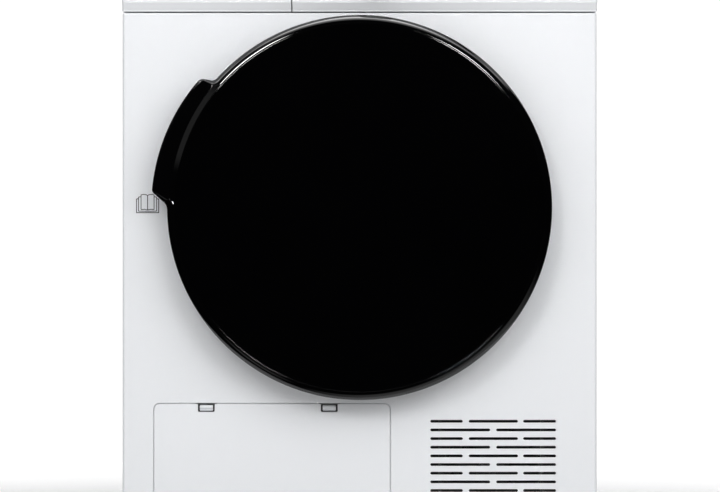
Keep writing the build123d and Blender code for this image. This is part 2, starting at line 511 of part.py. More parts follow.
hx, hy = HINGE_X, HINGE_Y
br = box(198, hx + 1, -279, YF, ZC - 45, ZC + 45)
for s in (1, -1):
    za, zb = sorted((ZC + s * 29, ZC + s * 35))
    lug = box(hx - 5, hx + 5, hy, YF, za, zb) + cz(hx, hy, 5, za, zb)
    lug -= cz(hx, hy, PIN_R, za - 1, zb + 1)
    br += lug
save("door_hinge_bracket", br)
save("door_hinge_pins", *[cz(hx, hy, PIN_R, *sorted((ZC + s * 14, ZC + s * 35))) +
                          cz(hx, hy, 4.6, *sorted((ZC + s * 35, ZC + s * 37))) for s in (1, -1)])
le = cz(hx, hy, 6, ZC - 28, ZC + 28) + box(176, hx, hy - 3, hy + 3, ZC - 26, ZC + 26)
le += box(176, 198, hy - 3, -287, ZC - 26, ZC + 26)
le -= cz(hx, hy, PIN_R + RUN, ZC - 30, ZC + 30)
save("door_hinge_leaf", le)

# ---------------------------------------------------------------- mains inlet (cord gland) on the rear wall
mi = box(-262, -212, RW + SHEET, 312, 66, 122)
mi += cy(-237, 94, 11, 312, 320)
mi -= cy(-237, 94, 4.2, 296, 330)
save("mains_inlet", mi)
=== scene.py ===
import json
import math

import bmesh
import bpy
from mathutils import Matrix, Vector
from mathutils.geometry import delaunay_2d_cdt


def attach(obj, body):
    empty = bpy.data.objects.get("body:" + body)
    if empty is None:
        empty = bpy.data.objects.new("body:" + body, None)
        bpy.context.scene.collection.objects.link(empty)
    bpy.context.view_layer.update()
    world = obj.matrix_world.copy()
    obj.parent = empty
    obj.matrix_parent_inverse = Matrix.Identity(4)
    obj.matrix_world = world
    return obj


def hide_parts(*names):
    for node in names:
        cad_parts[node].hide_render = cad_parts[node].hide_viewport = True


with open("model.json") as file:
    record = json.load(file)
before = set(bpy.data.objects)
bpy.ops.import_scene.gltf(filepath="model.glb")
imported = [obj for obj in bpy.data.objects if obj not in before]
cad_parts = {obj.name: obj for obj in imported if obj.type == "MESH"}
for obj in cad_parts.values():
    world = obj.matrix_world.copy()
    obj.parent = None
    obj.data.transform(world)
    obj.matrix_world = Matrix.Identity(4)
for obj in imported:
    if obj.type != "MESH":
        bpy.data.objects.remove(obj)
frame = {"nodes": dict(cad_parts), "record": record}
REPLACED = set()
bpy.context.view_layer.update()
scene = bpy.context.scene
scene.view_settings.view_transform = "Standard"
MM = 0.001

# Sizes in millimetres, as in the frame: +X right, +Y back, +Z up.
HW = 298.0
YF = -276.0
Y_SIDE0 = -262.0
Z_SEAM, Z_CTRL, Z_TOP0, H = 719.0, 720.5, 815.0, 845.0
ZC = 474.0
R_DOOR, R_DISC, R_GRIP = 239.3, 230.0, 259.6
FLAP = (-258.0, 38.0, 43.0, 227.9)
LATCH_X = (-192.6, -38.1)
Y_CTRL = -282.0
KX, KZ = 25.0, 768.0
BX, BZ = -50.0, 768.0
DISP = (108.0, 216.0, 750.0, 788.0)
MOTOR = (165.0, 110.0)


# ---------------------------------------------------------------- materials
def sock(node, *names):
    for n in names:
        if n in node.inputs:
            return node.inputs[n]
    return None


def material(name, base, rough, metal=0.0, spec=0.5, coat=0.0, coat_rough=0.04, var=0.03, var_scale=6.0,
             rvar=0.04, rscale=40.0, bumps=(), tint=None, aniso=0.0, sheen=0.0, wear=None, dust=None):
    """A principled material whose colour, roughness and relief all come from procedural nodes.
    bumps: (kind, scale, height in metres, stretch xyz)."""
    m = bpy.data.materials.new(name)
    m.use_nodes = True
    nt = m.node_tree
    nodes, links = nt.nodes, nt.links
    b = nodes["Principled BSDF"]
    b.inputs["Metallic"].default_value = metal
    sock(b, "Specular IOR Level", "Specular").default_value = spec
    sock(b, "Coat Weight").default_value = coat
    sock(b, "Coat Roughness").default_value = coat_rough
    sock(b, "Anisotropic").default_value = aniso
    sock(b, "Sheen Weight").default_value = sheen
    tc = nodes.new("ShaderNodeTexCoord")

    def noise(scale, detail=4.0, stretch=None, rough_=0.55):
        n = nodes.new("ShaderNodeTexNoise")
        n.inputs["Scale"].default_value = scale
        n.inputs["Detail"].default_value = detail
        n.inputs["Roughness"].default_value = rough_
        if stretch:
            mp = nodes.new("ShaderNodeMapping")
            mp.inputs["Scale"].default_value = stretch
            links.new(tc.outputs["Object"], mp.inputs["Vector"])
            links.new(mp.outputs["Vector"], n.inputs["Vector"])
        else:
            links.new(tc.outputs["Object"], n.inputs["Vector"])
        return n

    n1 = noise(var_scale)
    ramp = nodes.new("ShaderNodeValToRGB")
    t = tint or base
    ramp.color_ramp.elements[0].position = 0.30
    ramp.color_ramp.elements[1].position = 0.72
    ramp.color_ramp.elements[0].color = tuple(max(0.0, c * (1 - var)) for c in base) + (1,)
    ramp.color_ramp.elements[1].color = tuple(min(1.0, c * (1 + var)) for c in t) + (1,)
    links.new(n1.outputs["Fac"], ramp.inputs["Fac"])
    colour = ramp.outputs["Color"]
    if dust:
        amount, dcol, dscale = dust
        nd = noise(dscale, 6.0)
        r2 = nodes.new("ShaderNodeMapRange")
        r2.inputs["From Min"].default_value = 0.45
        r2.inputs["From Max"].default_value = 0.75
        r2.inputs["To Min"].default_value = 0.0
        r2.inputs["To Max"].default_value = amount
        links.new(nd.outputs["Fac"], r2.inputs["Value"])
        mx = nodes.new("ShaderNodeMix")
        mx.data_type = "RGBA"
        mx.inputs[7].default_value = tuple(dcol) + (1,)
        links.new(r2.outputs["Result"], mx.inputs[0])
        links.new(colour, mx.inputs[6])
        colour = mx.outputs[2]
    links.new(colour, b.inputs["Base Color"])
    n2 = noise(rscale, 3.0)
    mr = nodes.new("ShaderNodeMapRange")
    mr.inputs["From Min"].default_value = 0.3
    mr.inputs["From Max"].default_value = 0.7
    mr.inputs["To Min"].default_value = max(0.01, rough - rvar)
    mr.inputs["To Max"].default_value = min(1.0, rough + rvar)
    links.new(n2.outputs["Fac"], mr.inputs["Value"])
    links.new(mr.outputs["Result"], b.inputs["Roughness"])
    last = None
    for kind, scale, height, stretch in bumps:
        if kind == "noise":
            n = noise(scale, 3.0, stretch)
            out = n.outputs["Fac"]
        elif kind == "cells":
            n = nodes.new("ShaderNodeTexVoronoi")
            n.inputs["Scale"].default_value = scale
            links.new(tc.outputs["Object"], n.inputs["Vector"])
            out = n.outputs["Distance"]
        elif kind == "weave":
            mp = nodes.new("ShaderNodeSeparateXYZ")
            links.new(tc.outputs["Object"], mp.inputs["Vector"])
            outs = []
            for axis in stretch:
                ml = nodes.new("ShaderNodeMath")
                ml.operation = "MULTIPLY"
                ml.inputs[1].default_value = scale
                links.new(mp.outputs[axis], ml.inputs[0])
                sn = nodes.new("ShaderNodeMath")
                sn.operation = "SINE"
                links.new(ml.outputs[0], sn.inputs[0])
                ab = nodes.new("ShaderNodeMath")
                ab.operation = "ABSOLUTE"
                links.new(sn.outputs[0], ab.inputs[0])
                outs.append(ab)
            mn = nodes.new("ShaderNodeMath")
            mn.operation = "MAXIMUM"
            links.new(outs[0].outputs[0], mn.inputs[0])
            links.new(outs[1].outputs[0], mn.inputs[1])
            out = mn.outputs[0]
        bp = nodes.new("ShaderNodeBump")
        bp.inputs["Strength"].default_value = 1.0
        bp.inputs["Distance"].default_value = height
        links.new(out, bp.inputs["Height"])
        if last is not None:
            links.new(last, bp.inputs["Normal"])
        last = bp.outputs["Normal"]
    if last is not None:
        links.new(last, b.inputs["Normal"])
    return m


WHITE = (0.845, 0.860, 0.885)
M = {}
M["white_steel"] = material("enamelled_steel", WHITE, 0.36, spec=0.42, coat=0.12, coat_rough=0.22, var=0.008, var_scale=2.2, rvar=0.04,
                            rscale=30, bumps=(("noise", 420, 0.000016, None), ("noise", 60, 0.00004, None)))
M["white_plastic"] = material("grained_white_plastic", (0.84, 0.855, 0.88), 0.42, spec=0.42, var=0.010, var_scale=3.5, rvar=0.05,
                              rscale=90, bumps=(("noise", 1900, 0.000018, None), ("noise", 45, 0.00003, None)))
M["white_board"] = material("white_laminate", (0.90, 0.91, 0.925), 0.40, spec=0.42, var=0.012, var_scale=5, rvar=0.05, rscale=120,
                            bumps=(("noise", 900, 0.00003, None), ("cells", 500, 0.000012, None)))
M["edge_band"] = material("edge_band_plastic", (0.90, 0.91, 0.93), 0.40, var=0.012, rscale=80,
                          bumps=(("noise", 1200, 0.00002, None),))
M["galvanised"] = material("galvanised_sheet", (0.56, 0.58, 0.60), 0.38, metal=0.85, spec=0.5, var=0.16, var_scale=55, rvar=0.10,
                           rscale=38, tint=(0.62, 0.64, 0.66), bumps=(("cells", 120, 0.000012, None), ("noise", 700, 0.00001, None)))
M["steel_drum"] = material("drum_steel", (0.68, 0.69, 0.70), 0.40, metal=0.62, var=0.05, var_scale=14, rvar=0.06, rscale=25, aniso=0.2,
                           bumps=(("noise", 380, 0.000012, (1, 0.04, 1)),))
M["black_gloss"] = material("gloss_black_plastic", (0.0009, 0.0009, 0.0011), 0.055, spec=0.5, coat=0.25, coat_rough=0.03, var=0.2,
                            var_scale=12, rvar=0.012, rscale=18, bumps=(("noise", 38, 0.00002, None),))
M["black_glass"] = material("black_door_face", (0.0006, 0.0006, 0.0008), 0.045, spec=0.5, coat=0.3, coat_rough=0.02, var=0.2,
                            var_scale=10, rvar=0.01, rscale=14, bumps=(("noise", 9, 0.00003, None),))
M["grey_plastic"] = material("grey_moulded_plastic", (0.30, 0.31, 0.33), 0.46, var=0.03, var_scale=9, rvar=0.06, rscale=120,
                             bumps=(("noise", 1500, 0.00003, None), ("noise", 90, 0.00003, None)))
M["light_plastic"] = material("light_moulded_plastic", (0.62, 0.635, 0.65), 0.40, var=0.02, var_scale=8, rvar=0.05, rscale=110,
                              bumps=(("noise", 1500, 0.000025, None), ("noise", 70, 0.00003, None)))
M["black_plastic"] = material("black_moulded_plastic", (0.012, 0.012, 0.014), 0.42, var=0.12, var_scale=20, rvar=0.07, rscale=160,
                              bumps=(("noise", 1400, 0.00003, None),))
M["tray_plastic"] = material("filled_tray_plastic", (0.075, 0.08, 0.085), 0.52, var=0.10, var_scale=18, rvar=0.08, rscale=140,
                             dust=(0.10, (0.30, 0.29, 0.27), 9.0), bumps=(("noise", 900, 0.00004, None), ("noise", 60, 0.00006, None)))
M["seal_rubber"] = material("seal_rubber", (0.030, 0.030, 0.033), 0.58, spec=0.35, var=0.10, var_scale=30, rvar=0.08, rscale=200,
                            bumps=(("noise", 1100, 0.00004, None),), sheen=0.15)
M["felt"] = material("pressed_felt", (0.40, 0.38, 0.35), 0.95, spec=0.1, var=0.16, var_scale=160, rvar=0.04, rscale=300,
                     bumps=(("noise", 700, 0.0005, None), ("noise", 2200, 0.0003, None)), sheen=0.6)
M["bare_steel"] = material("bright_steel", (0.56, 0.57, 0.58), 0.24, metal=1.0, var=0.07, var_scale=60, rvar=0.07, rscale=90,
                           bumps=(("noise", 900, 0.00001, (1, 1, 6)),))
M["cast_hinge"] = material("plated_casting", (0.42, 0.43, 0.45), 0.40, metal=0.9, var=0.10, var_scale=40, rvar=0.08, rscale=90,
                           bumps=(("noise", 600, 0.00006, None),))
M["bearing_brass"] = material("sintered_bronze", (0.48, 0.33, 0.16), 0.36, metal=1.0, var=0.12, var_scale=70, rvar=0.08, rscale=120,
                              bumps=(("noise", 1500, 0.00002, None),))
M["motor_steel"] = material("varnished_motor", (0.085, 0.09, 0.10), 0.38, metal=0.35, var=0.14, var_scale=24, rvar=0.08, rscale=60,
                            bumps=(("noise", 500, 0.00003, None), ("noise", 90, 0.00008, (1, 14, 1))))
M["compressor_black"] = material("compressor_enamel", (0.014, 0.014, 0.015), 0.28, coat=0.3, coat_rough=0.12, var=0.12, var_scale=14,
                                 rvar=0.06, rscale=40, bumps=(("noise", 240, 0.00007, None),))
M["fin_aluminium"] = material("fin_aluminium", (0.66, 0.68, 0.69), 0.30, metal=1.0, var=0.06, var_scale=45, rvar=0.08, rscale=70,
                              bumps=(("noise", 1600, 0.00002, (10, 1, 1)),))
M["copper_tube"] = material("soldered_copper", (0.62, 0.30, 0.17), 0.26, metal=1.0, var=0.18, var_scale=22, rvar=0.10, rscale=35,
                            tint=(0.72, 0.38, 0.22), bumps=(("noise", 400, 0.00003, None),))
M["board_green"] = material("circuit_board_tray", (0.03, 0.13, 0.06), 0.44, var=0.18, var_scale=90, rvar=0.06, rscale=120,
                            bumps=(("cells", 260, 0.00015, None),))
M["display_black"] = material("display_glass", (0.004, 0.004, 0.005), 0.05, coat=0.4, coat_rough=0.02, var=0.3, var_scale=20,
                              rvar=0.012, rscale=18)
M["filter_mesh"] = material("filter_mesh_cloth", (0.50, 0.51, 0.52), 0.75, var=0.10, var_scale=60, rvar=0.05, rscale=120,
                            bumps=(("weave", 5200, 0.00025, (0, 2)),), sheen=0.2)
M["print_grey"] = material("printed_ink", (0.10, 0.10, 0.11), 0.45, var=0.08, var_scale=120, rvar=0.04, rscale=300,
                           bumps=(("noise", 2500, 0.00001, None),))
M["print_dark"] = material("printed_dark_ink", (0.028, 0.028, 0.032), 0.45, var=0.08, var_scale=120, rvar=0.04, rscale=300,
                           bumps=(("noise", 400, 0.000004, None),))
M["lit_digits"] = material("display_digits", (0.75, 0.78, 0.80), 0.4, var=0.03, var_scale=80)
M["satin_metal"] = material("satin_knob_metal", (0.60, 0.61, 0.62), 0.28, metal=0.9, var=0.04, var_scale=40, rvar=0.05, rscale=60,
                            bumps=(("noise", 900, 0.000012, (6, 1, 6)),))

SLOT_OF = {r["node"]: r["material_slot"] for r in frame["record"]["subparts"]}
for node, obj in frame["nodes"].items():
    obj.data.materials.clear()
    obj.data.materials.append(M[SLOT_OF[node]])


# ---------------------------------------------------------------- 2-D outlines in (x, z)
def arc2(cx, cz, r, a0, a1, n):
    return [(cx + r * math.cos(math.radians(a0 + (a1 - a0) * i / n)), cz + r * math.sin(math.radians(a0 + (a1 - a0) * i / n)))
            for i in range(n + 1)]


def circle2(cx, cz, r, n=48, start=0.0):
    return [(cx + r * math.cos(2 * math.pi * i / n + start), cz + r * math.sin(2 * math.pi * i / n + start)) for i in range(n)]


def rrect(x0, x1, z0, z1, r, n=6):
    """Rounded rectangle, anticlockwise. r is one radius or (lower left, lower right, upper right, upper left)."""
    a, b, c, d = (r, r, r, r) if isinstance(r, (int, float)) else r
    a, b, c, d = (max(0.02, q) for q in (a, b, c, d))
    return (arc2(x0 + a, z0 + a, a, 180, 270, n) + arc2(x1 - b, z0 + b, b, 270, 360, n)
            + arc2(x1 - c, z1 - c, c, 0, 90, n) + arc2(x0 + d, z1 - d, d, 90, 180, n))


def slot2(x0, x1, z, h, n=7):
    r = h / 2
    return arc2(x1 - r, z, r, -90, 90, n) + arc2(x0 + r, z, r, 90, 270, n)


def normals2(loop):
    """Outward normals of an anticlockwise loop, with the mitre length."""
    out = []
    n = len(loop)
    for i in range(n):
        p, q, s = Vector(loop[i - 1]), Vector(loop[i]), Vector(loop[(i + 1) % n])
        a, b = (q - p), (s - q)
        if a.length < 1e-9:
            a = b
        if b.length < 1e-9:
            b = a
        a, b = a.normalized(), b.normalized()
        na, nb = Vector((a.y, -a.x)), Vector((b.y, -b.x))
        m = na + nb
        if m.length < 1e-6:
            m = na
        m.normalize()
        k = 1.0 / max(0.5, m.dot(na))
        out.append((m.x * k, m.y * k))
    return out


def offset2(loop, d):
    return [(p[0] + n[0] * d, p[1] + n[1] * d) for p, n in zip(loop, normals2(loop))]


def round_poly(pts, radii, n=6):
    """An anticlockwise polygon with each corner rounded by its own radius."""
    out = []
    k = len(pts)
    for i in range(k):
        p, q, s = Vector(pts[i - 1]), Vector(pts[i]), Vector(pts[(i + 1) % k])
        r = radii[i] if not isinstance(radii, (int, float)) else radii
        a, b = (p - q).normalized(), (s - q).normalized()
        ang = math.acos(max(-1, min(1, a.dot(b))))
        if r <= 0 or abs(ang - math.pi) < 1e-4:
            out.append((q.x, q.y))
            continue
        t = r / math.tan(ang / 2)
        c = q + (a + b).normalized() * (r / math.sin(ang / 2))
        s0, s1 = q + a * t, q + b * t
        a0, a1 = math.atan2(s0.y - c.y, s0.x - c.x), math.atan2(s1.y - c.y, s1.x - c.x)
        while a1 - a0 > math.pi:
            a1 -= 2 * math.pi
        while a1 - a0 < -math.pi:
            a1 += 2 * math.pi
        for j in range(n + 1):
            t_ = a0 + (a1 - a0) * j / n
            out.append((c.x + r * math.cos(t_), c.y + r * math.sin(t_)))
    return out


def inside(p, loop):
    x, y = p
    c = False
    j = len(loop) - 1
    for i in range(len(loop)):
        xi, yi = loop[i]
        xj, yj = loop[j]
        if (yi > y) != (yj > y) and x < (xj - xi) * (y - yi) / (yj - yi) + xi:
            c = not c
        j = i
    return c


def fill2(outer, holes=()):
    """Triangles between an outline and the holes in it: (points, faces)."""
    pts, edges = [], []
    for loop in [outer, *holes]:
        b = len(pts)
        pts += [Vector(p) for p in loop]
        edges += [(b + i, b + (i + 1) % len(loop)) for i in range(len(loop))]
    v, _, f, _, _, _ = delaunay_2d_cdt(pts, edges, [], 1, 1e-6)
    good = []
    for t in f:
        c = (sum(v[i].x for i in t) / len(t), sum(v[i].y for i in t) / len(t))
        if inside(c, outer) and not any(inside(c, h) for h in holes):
            good.append(list(t))
    return [(p.x, p.y) for p in v], good


def fill2_rim(outer, holes, rim, edge):
    """fill2 with a narrow flat strip along the outline (edge wide) and along each hole (rim wide), all in one plane."""
    pts, faces = [], []

    def strip(loop, d):
        area_ = sum(a[0] * b[1] - b[0] * a[1] for a, b in zip(loop, loop[1:] + loop[:1]))
        other = offset2(loop, d if area_ > 0 else -d)
        b, n = len(pts), len(loop)
        pts.extend(loop)
        pts.extend(other)
        faces.extend([[b + i, b + (i + 1) % n, b + n + (i + 1) % n, b + n + i] for i in range(n)])
        return other

    o_ = strip(list(outer), -edge) if edge > 0 else list(outer)
    h_ = [strip(list(h), rim) for h in holes]
    v, f = fill2(o_, h_)
    b = len(pts)
    pts.extend(v)
    faces.extend([[i + b for i in t] for t in f])
    return pts, faces


def even_normals(o):
    """Keeps flat faces flat in the shading, next to small rounded edges."""
    md = o.modifiers.new("normals", "WEIGHTED_NORMAL")
    md.mode = "FACE_AREA"
    md.weight = 50
    md.keep_sharp = True


# ---------------------------------------------------------------- mesh making (millimetres in, metres out)
class Part:
    def __init__(self):
        self.v, self.f, self.m = [], [], []
        self.mi = 0

    def add(self, verts, faces):
        b = len(self.v)
        self.v += [tuple(p) for p in verts]
        self.f += [[i + b for i in f] for f in faces]
        self.m += [self.mi] * len(faces)
        return self

    def loft(self, loops, closed=True, cap0=False, cap1=False):
        n = len(loops[0])
        verts = [p for l in loops for p in l]
        faces = []
        for j in range(len(loops) - 1):
            for i in range(n if closed else n - 1):
                a, b = j * n + i, j * n + (i + 1) % n
                faces.append([a, b, b + n, a + n])
        if cap0:
            faces.append(list(range(n))[::-1])
        if cap1:
            faces.append([(len(loops) - 1) * n + i for i in range(n)])
        return self.add(verts, faces)

    def plane_y(self, y, outer, holes=(), rim=0.0, edge=None):
        pts, faces = fill2_rim(outer, holes, rim, rim if edge is None else edge) if rim > 0 else fill2(outer, holes)
        return self.add([(x, y, z) for x, z in pts], faces)

    def plane_z(self, z, outer, holes=()):
        pts, faces = fill2(outer, holes)
        return self.add([(x, y, z) for x, y in pts], faces)

    def plane_x(self, x, outer, holes=(), rim=0.0, edge=None):
        pts, faces = fill2_rim(outer, holes, rim, rim if edge is None else edge) if rim > 0 else fill2(outer, holes)
        return self.add([(x, y, z) for y, z in pts], faces)

    def lip_y(self, fn, r, depth, y0, seg=4):
        """A hole's rolled edge in a face at y0 that looks towards -Y. fn(d) is the hole's outline grown by d."""
        loops = [[(x, y0 + r * (1 - math.cos(t)), z) for x, z in fn(r * (1 - math.sin(t)))]
                 for t in (math.pi / 2 * i / seg for i in range(seg + 1))]
        if depth > r:
            loops.append([(x, y0 + depth, z) for x, z in fn(0.0)])
        return self.loft(loops)

    def edge_y(self, fn, r, depth, y0, seg=4):
        """An outline's rounded outer edge on a face at y0 that looks towards -Y. fn(d) is the outline grown by d."""
        loops = [[(x, y0 + r * (1 - math.cos(t)), z) for x, z in fn(-r * (1 - math.sin(t)))]
                 for t in (math.pi / 2 * i / seg for i in range(seg + 1))]
        if depth > r:
            loops.append([(x, y0 + depth, z) for x, z in fn(0.0)])
        return self.loft(loops)

    def slab_y(self, fn, y0, y1, r=0.5, rb=None, holes=(), seg=3):
        """A closed plate between y0 (front) and y1 with rounded edges. holes are outline functions too."""
        rb = r if rb is None else rb
        loops = [[(x, y0 + r * (1 - math.cos(t)), z) for x, z in fn(-r * (1 - math.sin(t)))]
                 for t in (math.pi / 2 * i / seg for i in range(seg + 1))]
        loops += [[(x, y1 - rb * (1 - math.cos(t)), z) for x, z in fn(-rb * (1 - math.sin(t)))]
                  for t in (math.pi / 2 * i / seg for i in range(seg, -1, -1))]
        self.loft(loops)
        for h in holes:
            hl = [[(x, y0 + r * (1 - math.cos(t)), z) for x, z in h(r * (1 - math.sin(t)))]
                  for t in (math.pi / 2 * i / seg for i in range(seg + 1))]
            hl += [[(x, y1 - rb * (1 - math.cos(t)), z) for x, z in h(rb * (1 - math.sin(t)))]
                   for t in (math.pi / 2 * i / seg for i in range(seg, -1, -1))]
            self.loft(hl)
        self.plane_y(y0, fn(-r), [h(r) for h in holes])
        self.plane_y(y1, fn(-rb), [h(rb) for h in holes])
        return self

    def slab_z(self, fn, z0, z1, r=0.5, rb=None, seg=3):
        """A closed plate between z0 and z1 with rounded edges; r rounds the top edge, rb the bottom one."""
        rb = r if rb is None else rb
        loops = [[(x, y, z0 + rb * (1 - math.cos(t))) for x, y in fn(-rb * (1 - math.sin(t)))]
                 for t in (math.pi / 2 * i / seg for i in range(seg + 1))]
        loops += [[(x, y, z1 - r * (1 - math.cos(t))) for x, y in fn(-r * (1 - math.sin(t)))]
                  for t in (math.pi / 2 * i / seg for i in range(seg, -1, -1))]
        self.loft(loops)
        self.plane_z(z0, fn(-rb))
        self.plane_z(z1, fn(-r))
        return self

    def rbox(self, x0, x1, y0, y1, z0, z1, r=0.4, seg=2):
        """A box with rounded edges."""
        bm = bmesh.new()
        bmesh.ops.create_cube(bm, size=1.0)
        for v in bm.verts:
            v.co = Vector(((x0 + x1) / 2 + v.co.x * (x1 - x0), (y0 + y1) / 2 + v.co.y * (y1 - y0), (z0 + z1) / 2 + v.co.z * (z1 - z0)))
        r = min(r, 0.45 * min(x1 - x0, y1 - y0, z1 - z0))
        if r > 0:
            bmesh.ops.bevel(bm, geom=list(bm.edges), offset=r, segments=seg, profile=0.5, affect="EDGES")
        bm.verts.index_update()
        self.add([v.co[:] for v in bm.verts], [[v.index for v in f.verts] for f in bm.faces])
        bm.free()
        return self

    def lathe(self, profile, axis="y", at=(0.0, 0.0, 0.0), n=96, closed=False, a0=0.0, a1=360.0):
        """Turns a (radius, position along the axis) profile about an axis through at."""
        full = abs(a1 - a0 - 360.0) < 1e-6
        k = n if full else n + 1
        loops = []
        for i in range(k):
            a = math.radians(a0 + (a1 - a0) * i / n)
            c, s = math.cos(a), math.sin(a)
            row = []
            for r, t in profile:
                if axis == "y":
                    row.append((at[0] + r * c, t + at[1], at[2] + r * s))
                elif axis == "z":
                    row.append((at[0] + r * c, at[1] + r * s, t + at[2]))
                else:
                    row.append((t + at[0], at[1] + r * c, at[2] + r * s))
            loops.append(row)
        m = len(profile)
        verts = [p for l in loops for p in l]
        faces = []
        for i in range(n):
            j = (i + 1) % k
            for q in range(m if closed else m - 1):
                q2 = (q + 1) % m
                faces.append([i * m + q, j * m + q, j * m + q2, i * m + q2])
        return self.add(verts, faces)

    def tube(self, pts, r, n=16, caps=True):
        """A round tube along a path of points, turned as little as possible between them."""
        P = [Vector(p) for p in pts]
        loops = []
        up = None
        for i, p in enumerate(P):
            d = (P[min(i + 1, len(P) - 1)] - P[max(i - 1, 0)]).normalized()
            if up is None:
                up = Vector((0, 0, 1)) if abs(d.z) < 0.9 else Vector((1, 0, 0))
            side = d.cross(up).normalized()
            up = side.cross(d).normalized()
            rr = r[i] if isinstance(r, (list, tuple)) else r
            loops.append([tuple(p + side * (rr * math.cos(2 * math.pi * k / n)) + up * (rr * math.sin(2 * math.pi * k / n)))
                          for k in range(n)])
        return self.loft(loops, cap0=caps, cap1=caps)

    def copy_turned(self, other, centre, deg, axis="y"):
        c, s = math.cos(math.radians(deg)), math.sin(math.radians(deg))
        out = []
        for x, y, z in other.v:
            if axis == "y":
                dx, dz = x - centre[0], z - centre[1]
                out.append((centre[0] + dx * c - dz * s, y, centre[1] + dx * s + dz * c))
            else:
                dx, dy = x - centre[0], y - centre[1]
                out.append((centre[0] + dx * c - dy * s, centre[1] + dx * s + dy * c, z))
        b = len(self.v)
        self.v += out
        self.f += [[i + b for i in f] for f in other.f]
        self.m += list(other.m)
        return self

    def make(self, name, body, slot, mats, replaces=(), angle=32.0, thick=0.0, weld=0.004, solid_offset=-1.0, flip=False, flat=False):
        me = bpy.data.meshes.new(name)
        me.from_pydata([(x * MM, y * MM, z * MM) for x, y, z in self.v], [], self.f)
        mats = mats if isinstance(mats, (list, tuple)) else [mats]
        for m in mats:
            me.materials.append(M[m] if isinstance(m, str) else m)
        me.polygons.foreach_set("material_index", [min(i, len(mats) - 1) for i in self.m])
        bm = bmesh.new()
        bm.from_mesh(me)
        bmesh.ops.remove_doubles(bm, verts=list(bm.verts), dist=weld * MM)
        bmesh.ops.dissolve_degenerate(bm, edges=list(bm.edges), dist=weld * MM)
        loose = [v for v in bm.verts if not v.link_faces]
        bmesh.ops.delete(bm, geom=loose, context="VERTS")
        bmesh.ops.recalc_face_normals(bm, faces=list(bm.faces))
        if flip:
            bmesh.ops.reverse_faces(bm, faces=list(bm.faces))
        bm.to_mesh(me)
        bm.free()
        me.polygons.foreach_set("use_smooth", [True] * len(me.polygons))
        me.set_sharp_from_angle(angle=math.radians(angle))
        o = bpy.data.objects.new(name, me)
        scene.collection.objects.link(o)
        if thick:
            md = o.modifiers.new("sheet", "SOLIDIFY")
            md.thickness = thick * MM
            md.offset = solid_offset
            md.use_even_offset = False
        if flat:
            even_normals(o)
        if replaces:
            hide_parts(*replaces)
            REPLACED.update(replaces)
        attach(o, body)
        return o


# ---------------------------------------------------------------- camera first
cam_data = bpy.data.cameras.new("photo_camera")
cam = bpy.data.objects.new("photo_camera", cam_data)
scene.collection.objects.link(cam)
scene.camera = cam
DIST = 3.5
cam.location = (0.0005, YF * MM - DIST, 0.4262)
cam.rotation_euler = (math.radians(90), 0, 0)
cam_data.sensor_width = 36.0
cam_data.lens = DIST / 0.001256 / 720 * 36.0
cam_data.clip_start, cam_data.clip_end = 0.05, 60.0


# ---------------------------------------------------------------- front panel
def front_panel():
    p = Part()
    corner = 1.6
    base = rrect(-HW, HW, 20, Z_SEAM, corner, 6)
    nrm = normals2(base)
    side_r, end_r = 4.0, 1.4

    def ring_at(t):
        out = []
        for (x, z), n in zip(base, nrm):
            k = min(1.0, abs(n[0]))
            r = end_r + (side_r - end_r) * k * k
            s = r * (1 - math.sin(t))
            out.append((x - n[0] * s, YF + r * (1 - math.cos(t)), z - n[1] * s))
        return out

    seg = 7
    loops = [ring_at(math.pi / 2 * i / seg) for i in range(seg + 1)]
    loops.append([(x, YF + 13.6, z) for x, z in base])
    p.loft(loops)
    rim = [(x, z) for x, y, z in loops[0]]
    holes = []
    # slots of the intake grille
    for row in range(13):
        zz = 206.0 - row * 10.87
        spans = ((88.9, 129.5), (137.2, 198.8), (205.5, 246.7)) if row % 2 == 0 else ((88.9, 163.9), (171.7, 246.7))
        for a, b in spans:
            holes.append((lambda d, a=a, b=b, z=zz: slot2(a - d, b + d, z, 3.4 + 2 * d), 0.35, 1.0))
    x0, x1, z0, z1 = FLAP
    g = 0.95
    holes.append((lambda d: rrect(x0 - g - d, x1 + g + d, z0 - g - d, z1 + g + d, (1.6 + d, 1.6 + d, 7.6 + d, 7.6 + d), 8), 0.7, 3.4))
    holes.append((lambda d: circle2(0, ZC, 196.0 + d, 180), 0.9, 0.95))
    holes.append((lambda d: rrect(-212 - d, -199 + d, ZC - 13 - d, ZC + 13 + d, 2 + d, 4), 0.3, 0.8))
    for fn, r, depth in holes:
        p.lip_y(fn, r, depth, YF, 4)
    p.plane_y(YF, rim, [fn(r) for fn, r, depth in holes], 0.5, 0.0)
    o = p.make("front_panel_skin", "cabinet", "white_steel", "white_steel", ["front_panel"], thick=0.7, flat=True)
    # a ledge behind the flap's edges closes the gap round it
    q = Part()
    ya, yb = YF + 3.0, YF + 3.8
    for seg_x0, seg_x1 in ((x0 - 1.4, LATCH_X[0] - 13.5), (LATCH_X[0] + 13.5, LATCH_X[1] - 13.5), (LATCH_X[1] + 13.5, x1 + 1.4)):
        q.rbox(seg_x0, seg_x1, ya, yb, z1 - 3.0, z1 + 1.6, 0.25)
    q.rbox(x0 - 1.6, x0 + 3.0, ya, yb, z0 + 12, z1 - 2.0, 0.25)
    q.rbox(x1 - 3.0, x1 + 1.6, ya, yb, z0 + 12, z1 - 2.0, 0.25)
    q.make("flap_opening_ledge", "cabinet", "white_steel", "white_steel")
    return o


front_panel()


